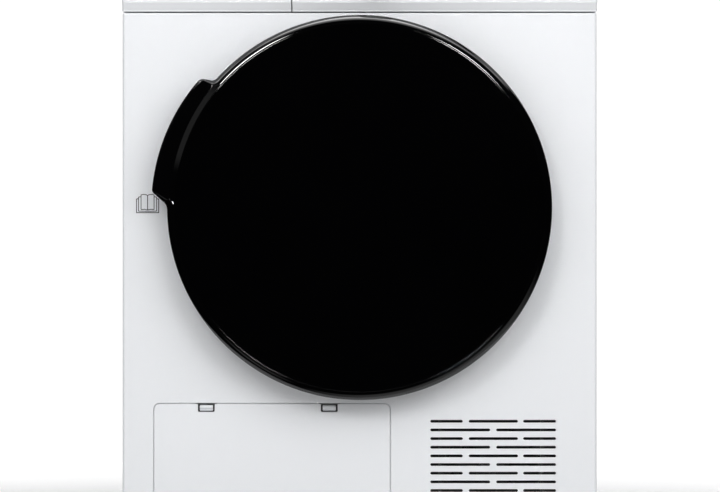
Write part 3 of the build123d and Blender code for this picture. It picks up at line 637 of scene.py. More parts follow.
# ---------------------------------------------------------------- book pictogram printed beside the grip
def stroke(part, pts, w, y0, y1):
    """A printed line of width w along (x, z) points, as a thin closed strip."""
    P = [Vector(p) for p in pts]
    left, right = [], []
    for i, q in enumerate(P):
        a = (q - P[i - 1]).normalized() if i else (P[1] - q).normalized()
        b = (P[i + 1] - q).normalized() if i < len(P) - 1 else a
        t = (a + b)
        t = t.normalized() if t.length > 1e-6 else a
        n = Vector((-t.y, t.x))
        k = min(2.0, 1.0 / max(0.3, n.dot(Vector((-a.y, a.x)))))
        left.append(q + n * (w / 2 * k))
        right.append(q - n * (w / 2 * k))
    n = len(P)
    verts = [(p.x, y0, p.y) for p in left] + [(p.x, y0, p.y) for p in right] + [(p.x, y1, p.y) for p in left] + [(p.x, y1, p.y) for p in right]
    faces = []
    for i in range(n - 1):
        faces += [[i, i + 1, n + i + 1, n + i], [2 * n + i, 3 * n + i, 3 * n + i + 1, 2 * n + i + 1],
                  [i, 2 * n + i, 2 * n + i + 1, i + 1], [n + i, n + i + 1, 3 * n + i + 1, 3 * n + i]]
    faces += [[0, n, 3 * n, 2 * n], [n - 1, 3 * n - 1, 4 * n - 1, 2 * n - 1]]
    part.add(verts, faces)


def book():
    cx_, cz_ = -266.3, 479.3       # middle of the sign
    y0, y1 = YF - 0.05, YF + 0.05
    w, h = 28.8, 24.4
    p = Part()

    def pt(u, v):
        """Sign units: 1 = 1.256 mm, right and down from its upper left corner."""
        return (cx_ - w / 2 + (u - 0.0) * 1.256, cz_ + h / 2 - v * 1.256)

    lw = 1.0
    # pages, each with a bowed top and a shallow bottom edge
    for sgn in (-1, 1):
        q = lambda u, v: pt(11.45 + sgn * u, v)
        stroke(p, [q(0, 1.7), q(1.1, 0.8), q(2.9, 0.45), q(5.0, 0.45), q(6.5, 1.0), q(6.5, 15.6)], lw, y0, y1)
        stroke(p, [q(6.5, 15.7), q(3.0, 15.3), q(0, 16.1)], lw * 1.1, y0, y1)
        stroke(p, [q(6.5, 2.6), q(9.0, 3.2), q(9.0, 17.1), q(0, 17.3)], lw, y0, y1)
        stroke(p, [q(9.0, 4.7), q(11.1, 5.1), q(11.1, 18.6), q(0, 18.6)], lw * 1.1, y0, y1)
    stroke(p, [pt(11.45, 1.7), pt(11.45, 16.1)], lw * 1.15, y0, y1)
    p.make("manual_pictogram", "cabinet", "white_steel", "print_dark", angle=20, weld=0.0005)


book()


# ---------------------------------------------------------------- service flap and its latches
def flap():
    x0, x1, z0, z1 = FLAP
    nd, nw = 10.1, 10.5
    pts = [(x0, z0), (x1, z0), (x1, z1)]
    rad = [2.0, 2.0, 7.0]
    for lx in (LATCH_X[1], LATCH_X[0]):
        pts += [(lx + nw, z1), (lx + nw, z1 - nd), (lx - nw, z1 - nd), (lx - nw, z1)]
        rad += [0.8, 1.6, 1.6, 0.8]
    pts.append((x0, z1))
    rad.append(7.0)
    base = round_poly(pts, rad, 6)
    p = Part()
    fn = lambda d: offset2(base, d)
    p.slab_y(fn, YF, YF + 2.6, r=0.55, rb=0.3)
    # frame of ribs behind
    for a, b, c, d in ((x0 + 6, x1 - 6, z0 + 2, z0 + 4.4), (x0 + 6, x1 - 6, z1 - 16, z1 - 13.6)):
        p.rbox(a, b, YF + 2.4, YF + 6, c, d, 0.3)
    for a, b in ((x0 + 6, x0 + 8.4), (x1 - 8.4, x1 - 6)):
        p.rbox(a, b, YF + 2.4, YF + 6, z0 + 2, z1 - 13.6, 0.3)
    for k in range(1, 6):
        xx = x0 + 6 + k * (x1 - x0 - 12) / 6
        p.rbox(xx - 0.8, xx + 0.8, YF + 2.4, YF + 4.6, z0 + 4, z1 - 15, 0.2)
    for k in range(1, 4):
        zz = z0 + 3 + k * (z1 - z0 - 19) / 4
        p.rbox(x0 + 8, x1 - 8, YF + 2.4, YF + 4.6, zz - 0.8, zz + 0.8, 0.2)
    for a, b, c0, c1 in ((x0 - 4.5, x0 + 3, x0 + 0.5, x0 + 6), (x1 - 3, x1 + 4.5, x1 - 6, x1 - 0.5)):
        p.rbox(c0, c1, YF + 2.4, -268, 44.5, 50.5, 0.6)
        p.lathe([(0, a), (2.1, a), (2.5, a + 0.4), (2.5, b - 0.4), (2.1, b), (0, b)], axis="x", at=(0, -271.0, 47.5), n=24)
    p.make("service_flap_door", "flap", "white_plastic", "white_plastic", ["service_flap"], flat=True)
    for i, lx in enumerate(LATCH_X):
        q = Part()
        # black socket behind the notch: painted shade for the recess round the latch
        ow, iw = nw + 1.9, nw + 0.05
        zb, zt = z1 - nd - 4.6, z1 - 1.0
        outer = rrect(lx - ow, lx + ow, zb, zt, 0.8, 3)
        inner = rrect(lx - iw, lx + iw, z1 - nd - 2.8, zt + 0.4, 0.8, 3)
        q.rbox(lx - ow, lx + ow, YF + 8.2, YF + 9.9, zb, zt, 0.4)
        q.rbox(lx - ow, lx + ow, YF + 2.7, YF + 8.3, zb, z1 - nd - 2.6, 0.4)
        q.rbox(lx - ow, lx - iw, YF + 2.7, YF + 8.3, zb, zt, 0.4)
        q.rbox(lx + iw, lx + ow, YF + 2.7, YF + 8.3, zb, zt, 0.4)
        # small bevelled black block under the latch: painted shade for its finger scoop
        q.rbox(lx - 4.2, lx + 4.2, YF + 0.9, YF + 2.7, z1 - nd - 0.9, z1 - nd - 0.05, 0.3)
        q.make("flap_latch_shade_socket_%s" % ("left", "right")[i], "flap", "black_plastic", "black_plastic")
        la = Part()
        hw = 8.3
        prof = [(YF + 6.2, z1 - 8.6), (YF + 3.0, z1 - 8.6), (YF + 3.0, z1 - 6.1), (YF + 1.2, z1 - 5.9), (YF + 0.75, z1 - 5.4), (YF + 0.6, z1 - 4.6),
                (YF + 0.6, z1 - 3.6), (YF + 0.8, z1 - 2.9), (YF + 1.3, z1 - 2.5), (YF + 3.6, z1 - 1.5), (YF + 6.2, z1 - 1.5)]
        loops = []
        for xx, s in ((-hw, 0.75), (-hw + 0.25, 0.93), (-hw + 0.7, 1.0), (hw - 0.7, 1.0), (hw - 0.25, 0.93), (hw, 0.75)):
            cy_, cz_ = YF + 3.4, z1 - 4.4
            loops.append([(lx + xx, cy_ + (y - cy_) * s, cz_ + (z - cz_) * s) for y, z in prof])
        la.loft(loops, cap0=True, cap1=True)
        # small grip ribs on the thumb edge
        for k in range(5):
            xx = lx - 5.6 + k * 2.8
            la.rbox(xx - 0.35, xx + 0.35, YF + 0.42, YF + 1.2, z1 - 5.0, z1 - 3.2, 0.12)
        la.make("flap_latch_key_%s" % ("left", "right")[i], ("latch_left", "latch_right")[i], "white_plastic", "white_plastic",
                [("flap_latch_left", "flap_latch_right")[i]], angle=40)


flap()


# ---------------------------------------------------------------- door rim with its grip, and the black face
def fillet_centre(f, g, a, b, start):
    """The point whose signed distances f and g are a and b, found by Newton steps from start."""
    x, z = start
    e = 1e-3
    for _ in range(60):
        f0, g0 = f(x, z) - a, g(x, z) - b
        fx, fz = (f(x + e, z) - a - f0) / e, (f(x, z + e) - a - f0) / e
        gx, gz = (g(x + e, z) - b - g0) / e, (g(x, z + e) - b - g0) / e
        det = fx * gz - fz * gx
        x, z = x - (f0 * gz - fz * g0) / det, z - (fx * g0 - f0 * gx) / det
    return x, z


def door_outline(n_circle=300):
    """Outline of the door rim with the flared grip: anticlockwise points about the door's centre."""
    Rd, Rc, cx_ = R_DOOR, 241.2, -17.5
    up = Vector((0.1425, 1.0)).normalized()        # outward from the grip's top edge
    dn = Vector((-0.67, -0.74)).normalized()       # outward from its lower cut
    t_at, d_at = Vector((-190.0, 158.9)), Vector((-257.0, 18.8))
    door = lambda x, z: math.hypot(x, z) - Rd
    grip = lambda x, z: math.hypot(x - cx_, z) - Rc
    top = lambda x, z: (x - t_at.x) * up.x + (z - t_at.y) * up.y
    low = lambda x, z: (x - d_at.x) * dn.x + (z - d_at.y) * dn.y
    r1, r2, r3, r4 = 9.0, 9.0, 6.5, 13.0
    c1 = fillet_centre(door, top, r1, r1, (-187.0, 172.0))
    c2 = fillet_centre(grip, top, -r2, -r2, (-195.0, 153.0))
    c3 = fillet_centre(grip, low, -r3, -r3, (-252.0, 25.0))
    c4 = fillet_centre(door, low, r4, r4, (-252.0, -2.0))
    deg = lambda p, q: math.degrees(math.atan2(p[1] - q[1], p[0] - q[0]))
    a_up, a_dn = math.degrees(math.atan2(up.y, up.x)), math.degrees(math.atan2(dn.y, dn.x)) % 360
    th1, th4 = deg(c1, (0, 0)), deg(c4, (0, 0)) % 360
    th2, th3 = deg(c2, (cx_, 0)), deg(c3, (cx_, 0)) % 360
    pts = []

    def add(seq):
        for q in seq:
            if not pts or (Vector(q) - Vector(pts[-1])).length > 0.05:
                pts.append(q)

    add(arc2(0, 0, Rd, th4 - 360, th1, n_circle))
    add(arc2(c1[0], c1[1], r1, th1 - 180, a_up - 180, 14))
    add(arc2(c2[0], c2[1], r2, a_up, th2, 12))
    add(arc2(cx_, 0, Rc, th2, th3, 44))
    add(arc2(c3[0], c3[1], r3, th3, a_dn, 10))
    add(arc2(c4[0], c4[1], r4, a_dn - 180, th4 - 180, 14))
    if (Vector(pts[0]) - Vector(pts[-1])).length < 0.05:
        pts.pop()
    return pts


def door_rim():
    base = door_outline()
    # stations close together at both ends of the hinge pocket, so that its ends are square
    for zz in (48.0, -48.0):
        for e in (-0.12, 0.12):
            z = zz + e
            x = math.sqrt(R_DOOR ** 2 - z * z)
            ang = math.atan2(z, x)
            for i in range(len(base)):
                a = math.atan2(base[i][1], base[i][0])
                b = math.atan2(base[(i + 1) % len(base)][1], base[(i + 1) % len(base)][0])
                if base[i][0] > 150 and a < ang < b:
                    base.insert(i + 1, (x, z))
                    break
    nrm = normals2(base)
    YD = -324.0
    r_lip, r_crest = R_DISC - 1.4, R_DISC - 1.2
    sections = []
    for (x, z), n in zip(base, nrm):
        rho = math.hypot(x, z)
        g = max(0.0, min(1.0, (rho - R_DOOR) / 9.0))
        g = g * g * (3 - 2 * g)
        # rolled edge: an arc of radius ra through phi, a straight bevel, then a tight corner
        w = (R_DOOR - r_crest) + (3.0 - (R_DOOR - r_crest)) * g
        nl = math.hypot(*n)
        nx, nz = n[0] / nl, n[1] / nl
        ex, ez = x - nx * w, z - nz * w
        th = math.atan2(ez, ex)
        c, s = math.cos(th), math.sin(th)
        L = max(0.0, math.hypot(ex, ez) - r_crest)

        def y_of(u):
            """Depth of the hollow that slopes from the crest down to the grip's plate."""
            k, a_, b_ = 0.424, 0.9, 7.8
            if u <= a_:
                return YD + k * u * u / (2 * a_)
            if u <= b_ - a_:
                return YD + k * (u - a_ / 2)
            q_ = max(0.0, b_ - u)
            return YD + k * (b_ - a_) - k * q_ * q_ / (2 * a_)

        sec = [(c * (R_DISC - 3.0), -321.3, s * (R_DISC - 3.0)), (c * r_lip, -321.3, s * r_lip), (c * r_lip, YD + 0.3, s * r_lip)]
        for i in range(1, 4):
            t = math.pi / 2 * i / 3
            r = r_crest - (r_crest - r_lip) * math.cos(t)
            sec.append((c * r, YD + 0.3 * (1 - math.sin(t)), s * r))
        stops = (0.3, 0.6, 0.9, 2.0, 3.5, 5.0, 6.9, 7.1, 7.3, 7.5, 7.8)
        us = [q_ * min(1.0, L / 8.0) for q_ in stops]
        us += [us[-1] + (L - us[-1]) * k_ / 4 for k_ in (1, 2, 3, 4)]
        for u in us:
            f = u / L if L > 1e-6 else 1.0
            px, pz = c * r_crest + (ex - c * r_crest) * f, s * r_crest + (ez - s * r_crest) * f
            sec.append((px, y_of(u), pz))
        yE = y_of(L)
        # slope of the rolled edge against distance out from the crest
        table = ((0.0, 0.8), (0.6, 2.5), (1.0, 5.0), (1.6, 12.6), (2.2, 16.5), (3.2, 21.0), (4.2, 34.0), (4.9, 44.0), (5.8, 47.0),
                 (7.1, 49.5), (8.3, 51.5), (9.9, 53.0), (10.25, 70.0), (10.5, 86.0))
        scale = w / 10.5
        prof, u_, v_ = [], 0.0, 0.0
        for (ua, sa), (ub, sb) in zip(table, table[1:]):
            for i in range(1, 4):
                s0, s1 = sa + (sb - sa) * (i - 1) / 3, sa + (sb - sa) * i / 3
                du = (ub - ua) / 3 * scale
                u_ += du
                v_ += du * math.tan(math.radians((s0 + s1) / 2))
                prof.append((u_, v_))
        for u, v in prof:
            sec.append((ex + nx * u, yE + v, ez + nz * u))
        yR = yE + prof[-1][1]
        hinge = x > 0 and abs(z) < 48.0
        yb = -316.0 if hinge else (-284.0 - 17.0 * g)
        yb = max(yb, yR + 0.2)
        taper = 0.0 if hinge else 1.6 * (1 - g)
        ym = yb if hinge else min(-304.0, yb - 0.1)
        sec.append((x, max(ym, yR + 0.1), z))
        bx, bz = x - nx * taper, z - nz * taper
        sec.append((bx, yb, bz))
        # finger space behind the grip's plate
        ix, iz = bx - nx * 3.2 * g, bz - nz * 3.2 * g
        sec.append((ix, yb, iz))
        yp = yb + (-316.4 - yb) * g
        sec.append((ix, yp, iz))
        rr = min(math.hypot(ix, iz), R_DOOR - 0.6 - taper)
        c2, s2 = math.cos(math.atan2(iz, ix)), math.sin(math.atan2(iz, ix))
        sec.append((c2 * rr, yp, s2 * rr))
        yb2 = -316.0 if hinge else -284.0
        sec.append((c2 * (R_DOOR - 1.8), yb2, s2 * (R_DOOR - 1.8)))
        sec.append((c2 * (R_DISC - 3.0), yb2, s2 * (R_DISC - 3.0)))
        sections.append([(a, b, d + ZC) for a, b, d in sec])
    p = Part()
    m, k = len(sections[0]), len(sections)
    faces = []
    for i in range(k):
        j = (i + 1) % k
        for a in range(m):
            b = (a + 1) % m
            faces.append([i * m + a, j * m + a, j * m + b, i * m + b])
    p.add([v for sct in sections for v in sct], faces)
    p.make("door_rim_with_grip", "door", "black_gloss", "black_gloss", ["door_outer_trim"], angle=38, weld=0.01)


def door_face():
    R = R_DISC - 1.6
    prof = [(0.0, -323.9)]
    r_roll = R - 1.0
    for i in range(1, 15):
        r = r_roll * i / 14
        prof.append((r, -323.9 + 0.20 * (r / R) ** 2.2))
    y, sl = prof[-1][1], math.radians(0.11)
    # slope grows to 10 degrees, then a small round turns it to the back
    k_ = 8
    for i in range(1, k_ + 1):
        s1 = math.radians(0.11 + 9.9 * i / k_)
        y += 0.7 / k_ * math.tan((sl + s1) / 2)
        sl = s1
        prof.append((r_roll + 0.7 * i / k_, y))
    rc, t0 = 0.3, math.radians(10.0)
    u0, v0 = prof[-1]
    for i in range(1, 6):
        t = t0 + (math.pi / 2 - t0) * i / 5
        prof.append((min(R, u0 + rc * (math.sin(t) - math.sin(t0)) * 1.2), v0 + rc * (math.cos(t0) - math.cos(t))))
    prof += [(R, -319.4), (R - 0.6, -319.0), (0.0, -319.0)]
    p = Part().lathe(prof, at=(0, 0, ZC), n=240)
    p.make("door_black_face", "door", "black_glass", "black_glass", ["door_front_disc"], angle=38)


door_rim()
door_face()


# ---------------------------------------------------------------- control panel: fascia and drawer front
def profile_loop():
    """(y, z) of the panel's cross-section from the back of the top edge round the front to the back of the bottom edge."""
    pts = [(-262.5, 814.0), (Y_CTRL, 814.0), (Y_CTRL, 731.5), (-277.0, 721.9), (-277.0, Z_CTRL), (-262.5, Z_CTRL)]
    rad = [0.0, 1.2, 1.6, 0.5, 0.7, 0.0]
    out = []
    for i, (a, b) in enumerate(pts):
        if rad[i] == 0.0:
            out.append((a, b))
            continue
        p, q, s = Vector(pts[i - 1]), Vector((a, b)), Vector(pts[i + 1])
        u, v = (p - q).normalized(), (s - q).normalized()
        ang = math.acos(max(-1, min(1, u.dot(v))))
        t = rad[i] / math.tan(ang / 2)
        c = q + (u + v).normalized() * (rad[i] / math.sin(ang / 2))
        s0, s1 = q + u * t, q + v * t
        a0, a1 = math.atan2(s0.y - c.y, s0.x - c.x), math.atan2(s1.y - c.y, s1.x - c.x)
        while a1 - a0 > math.pi:
            a1 -= 2 * math.pi
        while a1 - a0 < -math.pi:
            a1 += 2 * math.pi
        for k in range(6):
            tt = a0 + (a1 - a0) * k / 5
            out.append((c.x + rad[i] * math.cos(tt), c.y + rad[i] * math.sin(tt)))
    return out


PROFILE = profile_loop()


def inset_profile(d):
    """The cross-section moved inwards by d."""
    n = len(PROFILE)
    out = []
    for i, (y, z) in enumerate(PROFILE):
        a = Vector(PROFILE[max(i - 1, 0)])
        b = Vector(PROFILE[min(i + 1, n - 1)])
        t = (b - a).normalized()
        nx, nz = -t.y, t.x           # to the left of the way round: inwards
        if Vector((nx, nz)).dot(Vector((-268.0 - y, 770.0 - z))) < 0:
            nx, nz = -nx, -nz
        yy, zz = y + nx * d, z + nz * d
        out.append((min(yy, -262.5) if i in (0, n - 1) else yy, zz))
    return out


def control_piece(name, x0, x1, r0, r1, holes, body, node, extra=None):
    """A moulded piece of the control panel from x0 to x1, with end edges rounded by r0 and r1, and holes in its face."""
    p = Part()
    seg = 6
    left = [(x0 + r0 * (1 - math.cos(math.pi / 2 * i / seg)), r0 * (1 - math.sin(math.pi / 2 * i / seg))) for i in range(seg + 1)]
    right = [(x1 - r1 * (1 - math.cos(math.pi / 2 * i / seg)), r1 * (1 - math.sin(math.pi / 2 * i / seg))) for i in range(seg, -1, -1)]
    stations = left + right
    loops = [[(x, y, z) for y, z in inset_profile(d)] for x, d in stations]
    n = len(PROFILE)
    # the flat front between the two roundings is cut for the holes
    flat = [i for i in range(n - 1) if abs(PROFILE[i][0] - Y_CTRL) < 1e-3 and abs(PROFILE[i + 1][0] - Y_CTRL) < 1e-3 and abs(PROFILE[i][1] - PROFILE[i + 1][1]) > 20]
    fi = flat[0]
    verts = [v for l in loops for v in l]
    faces = []
    for j in range(len(loops) - 1):
        for i in range(n - 1):
            if i == fi and j == seg:
                continue
            faces.append([j * n + i, j * n + i + 1, (j + 1) * n + i + 1, (j + 1) * n + i])
    p.add(verts, faces)
    xa, xb = stations[seg][0], stations[seg + 1][0]
    za, zb = PROFILE[fi + 1][1], PROFILE[fi][1]
    p.plane_y(Y_CTRL, [(xa, za), (xb, za), (xb, zb), (xa, zb)], [fn(r) for fn, r, depth in holes], 0.5)
    for fn, r, depth in holes:
        p.lip_y(fn, r, depth, Y_CTRL, 5)
    for j in (0, len(loops) - 1):
        x, d = stations[j]
        ring_ = inset_profile(d)
        pts, fcs = fill2(ring_)
        p.add([(x, y, z) for y, z in pts], fcs)
    if extra:
        extra(p)
    return p.make(name, body, "white_plastic", "white_plastic", [node], thick=0.4, angle=30, flat=True)


def scoop_fn(d):
    return rrect(-235 - d, -150 + d, 742 - d, 762 + d, 8 + d, 10)


def display_fn(d):
    return rrect(DISP[0] - d, DISP[1] + d, DISP[2] - d, DISP[3] + d, 2.0 + d, 6)


control_piece("control_fascia_shell", -84.4, HW, 0.6, 3.0,
              [(lambda d: circle2(KX, KZ, 8.0 + d, 64), 0.4, 2.0), (lambda d: circle2(BX, BZ, 9.35 + d, 64), 0.5, 5.0), (display_fn, 0.35, 2.4)],
              "cabinet", "control_fascia")
control_piece("drawer_front_shell", -HW, -85.8, 3.0, 0.6, [(scoop_fn, 2.2, 2.3)], "tank_drawer", "tank_drawer_front")


def drawer_cup():
    """The finger pull's cup behind the drawer front."""
    p = Part()
    loops = []
    for k, (y, grow, lift) in enumerate(((Y_CTRL + 2.2, 0.0, 0.0), (Y_CTRL + 6.0, -0.4, 0.6), (Y_CTRL + 9.2, -0.9, 1.6), (Y_CTRL + 10.8, -2.2, 2.4), (Y_CTRL + 11.4, -4.4, 2.8))):
        loops.append([(x, y, z + lift * (762 - z) / 20.0) for x, z in scoop_fn(grow)])
    p.loft(loops, cap1=True)
    p.make("drawer_pull_cup", "tank_drawer", "white_plastic", "white_plastic", thick=1.2, solid_offset=1.0, angle=50)


drawer_cup()


def knob():
    p = Part()
    n = 120
    # slim base ring, then the fluted side
    p.lathe([(0.0, -263.0), (4.6, -263.0), (5.0, -263.6), (5.0, -282.7), (26.4, -282.7), (26.95, -283.2), (26.95, -285.4), (26.2, -286.0), (25.6, -286.0)],
            at=(KX, 0, KZ), n=n)
    p.mi = 1
    flutes = 48
    rows = [(-286.0, 25.6, 0.0), (-286.6, 25.9, 0.5), (-288.0, 26.1, 1.0), (-300.0, 25.4, 1.0), (-302.0, 25.0, 0.5), (-303.0, 24.2, 0.0), (-303.4, 23.4, 0.0)]
    k = flutes * 6
    grid = []
    for y, r, amp in rows:
        row = []
        for i in range(k):
            a = 2 * math.pi * i / k
            rr = r - 0.35 * amp * (0.5 - 0.5 * math.cos(flutes * a))
            row.append((KX + rr * math.cos(a), y, KZ + rr * math.sin(a)))
        grid.append(row)
    p.loft(grid)
    p.mi = 2
    cap = [(23.4, -303.4), (22.6, -303.0), (22.0, -302.95), (12.0, -303.25), (0.0, -303.35)]
    p.lathe(cap, at=(KX, 0, KZ), n=k)
    p.mi = 3
    p.rbox(KX - 0.8, KX + 0.8, -303.6, -302.6, KZ + 13, KZ + 21.5, 0.35, 3)
    p.make("programme_dial", "knob", "light_plastic", ["light_plastic", "satin_metal", "light_plastic", "black_plastic"], ["programme_knob"], angle=35)


knob()


def button():
    p = Part()
    p.lathe([(0, -284.15), (6.0, -284.1), (8.0, -283.9), (8.7, -283.5), (9.0, -282.8), (9.0, -276.4), (8.6, -276.0), (0, -276.0)], at=(BX, 0, BZ), n=72)
    p.make("power_key_cap", "power_key", "light_plastic", "light_plastic", ["power_button"])
    q = Part()
    y0, y1 = -284.22, -284.0
    stroke(q, arc2(BX, BZ - 0.3, 3.6, 125, 415, 28), 0.7, y0, y1)
    stroke(q, [(BX, BZ + 0.4), (BX, BZ + 4.6)], 0.7, y0, y1)
    q.make("power_key_mark", "power_key", "light_plastic", "print_grey", angle=20, weld=0.0005)


button()


def marks():
    """Ticks and plain numbers round the dial, none of them straight below it."""
    places = [i for i in range(16) if i not in (7, 8, 9)]
    p = Part()
    y0, y1 = Y_CTRL - 0.05, Y_CTRL + 0.1
    for i in places:
        a = math.radians(90 - i * 22.5)
        r0, r1 = 30.5, 33.4
        w = 0.9 if i % 4 == 0 else 0.55
        stroke(p, [(KX + r0 * math.cos(a), KZ + r0 * math.sin(a)), (KX + r1 * math.cos(a), KZ + r1 * math.sin(a))], w, y0, y1)
    p.make("dial_ticks", "cabinet", "white_plastic", "print_grey", angle=20, weld=0.0005)
    for i, place in enumerate(places):
        a = math.radians(90 - place * 22.5)
        cu = bpy.data.curves.new("dial_number_%02d" % i, "FONT")
        cu.body = str(i)
        cu.size = 0.0052
        cu.align_x, cu.align_y = "CENTER", "CENTER"
        cu.extrude = 0.00006
        tmp = bpy.data.objects.new("tmp_number", cu)
        scene.collection.objects.link(tmp)
        bpy.context.view_layer.update()
        dg = bpy.context.evaluated_depsgraph_get()
        me = bpy.data.meshes.new_from_object(tmp.evaluated_get(dg))
        bpy.data.objects.remove(tmp)
        r = 38.2
        me.transform(Matrix.Translation(((KX + r * math.cos(a)) * MM, (Y_CTRL) * MM, (KZ + r * math.sin(a)) * MM)) @ Matrix.Rotation(math.radians(90), 4, "X"))
        me.materials.clear()
        me.materials.append(M["print_grey"])
        o = bpy.data.objects.new("dial_number_%02d" % i, me)
        scene.collection.objects.link(o)
        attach(o, "cabinet")


marks()


def display():
    x0, x1, z0, z1 = DISP
    base = rrect(x0 + 0.25, x1 - 0.25, z0 + 0.25, z1 - 0.25, 1.8, 6)
    p = Part().slab_y(lambda d: offset2(base, d), Y_CTRL + 0.02, Y_CTRL + 2.5, r=0.35)
    p.make("display_pane", "cabinet", "display_black", "display_black", ["display_window"])
    q = Part()
    seg_on = {"1": "bc", "4": "fgbc", "5": "afgcd", "0": "abcdef", "2": "abged", "3": "abgcd"}

    def digit(cx_, cz_, ch, w=8.2, h=15.0, t=1.5):
        s = seg_on[ch]
        e = t * 0.55
        lines = {"a": [(-w / 2 + e, h / 2), (w / 2 - e, h / 2)], "g": [(-w / 2 + e, 0), (w / 2 - e, 0)], "d": [(-w / 2 + e, -h / 2), (w / 2 - e, -h / 2)],
                 "f": [(-w / 2, h / 2 - e), (-w / 2, e)], "b": [(w / 2, h / 2 - e), (w / 2, e)],
                 "e": [(-w / 2, -e), (-w / 2, -h / 2 + e)], "c": [(w / 2, -e), (w / 2, -h / 2 + e)]}
        for k in s:
            stroke(q, [(cx_ + a, cz_ + b) for a, b in lines[k]], t, Y_CTRL - 0.03, Y_CTRL + 0.1)

    for ch, xx in (("1", 136), ("4", 156), ("5", 169)):
        digit(xx, 769, ch)
    for zz in (765.5, 772.5):
        q.add([(146 + 0.8 * math.cos(a), Y_CTRL - 0.03, zz + 0.8 * math.sin(a)) for a in [math.pi * i / 6 for i in range(12)]]
              + [(146 + 0.8 * math.cos(a), Y_CTRL + 0.1, zz + 0.8 * math.sin(a)) for a in [math.pi * i / 6 for i in range(12)]],
              [list(range(12)), list(range(12, 24))] + [[i, (i + 1) % 12, 12 + (i + 1) % 12, 12 + i] for i in range(12)])
    q.make("display_digits", "cabinet", "display_black", "lit_digits", angle=20, weld=0.0005)


display()


# ---------------------------------------------------------------- worktop
def worktop():
    base = rrect(-HW, HW, -283.0, 302.0, 5.0, 8)
    p = Part()
    p.slab_z(lambda d: offset2(base, d), Z_TOP0 + 0.3, H, r=2.6, rb=1.2, seg=5)
    p.make("worktop_board", "cabinet", "white_board", "white_board", ["worktop"], flat=True)


worktop()


# ---------------------------------------------------------------- light, floor, world
# ---------------------------------------------------------------- cabinet sides: folded sheet with a pressed field
def side_panel(s, name, node, body="cabinet"):
    p = Part()
    y0, y1, z0, z1 = Y_SIDE0, 300.0, 16.0, 815.0
    base = rrect(y0, y1, z0, z1, 3.0, 5)
    nrm = normals2(base)
    r = 1.6

    def loop_at(t):
        k = r * (1 - math.sin(t))
        return [(s * (HW - r * (1 - math.cos(t))), y - n[0] * k, z - n[1] * k) for (y, z), n in zip(base, nrm)]

    loops = [loop_at(math.pi / 2 * i / 4) for i in range(5)]
    loops.append([(s * (HW - (13.5 if z > 60 else 2.2)), y, z) for y, z in base])
    p.loft(loops)
    rim = [(y, z) for x, y, z in loops[0]]
    field = lambda d: rrect(-200.0 - d, 240.0 + d, 92.0 - d, 733.0 + d, max(2.0, 26.0 + d), 10)
    steps = []
    for i in range(9):
        t = i / 8
        steps.append([(s * (HW - 2.6 * t * t * (3 - 2 * t)), y, z) for y, z in field(4.5 - 9.0 * t)])
    p.loft(steps)
    p.plane_x(s * HW, rim, [field(4.5)], 1.0)
    p.plane_x(s * (HW - 2.6), field(-4.5), (), 1.0)
    p.make(name, body, "white_steel", "white_steel", [node], thick=0.7, flat=True)


side_panel(-1, "side_skin_left", "side_panel_left")
side_panel(1, "side_skin_right", "side_panel_right")


# ---------------------------------------------------------------- rear wall, duct cover and their fixings
def ystep(part, fn, ya, yb, w=6.0, seg=7):
    """A pressed step in a face along Y: level ya outside the outline fn(0), yb inside. Gives back both edges."""
    loops = []
    for i in range(seg + 1):
        t = i / seg
        loops.append([(x, ya + (yb - ya) * t * t * (3 - 2 * t), z) for x, z in fn(w / 2 - w * t)])
    part.loft(loops)
    return fn(w / 2), fn(-w / 2)


def turned(loop, cx_, cz_, deg):
    c, s = math.cos(math.radians(deg)), math.sin(math.radians(deg))
    return [(cx_ + (x - cx_) * c - (z - cz_) * s, cz_ + (x - cx_) * s + (z - cz_) * c) for x, z in loop]


def duct_outline():
    pts = arc2(0, ZC, 262.0, -20.1, 273.8, 150)
    pts += [(81.0, 110.0)] + arc2(165.0, 110.0, 84.0, 183.0, 357.0, 70) + [(249.0, 110.0)]
    return pts


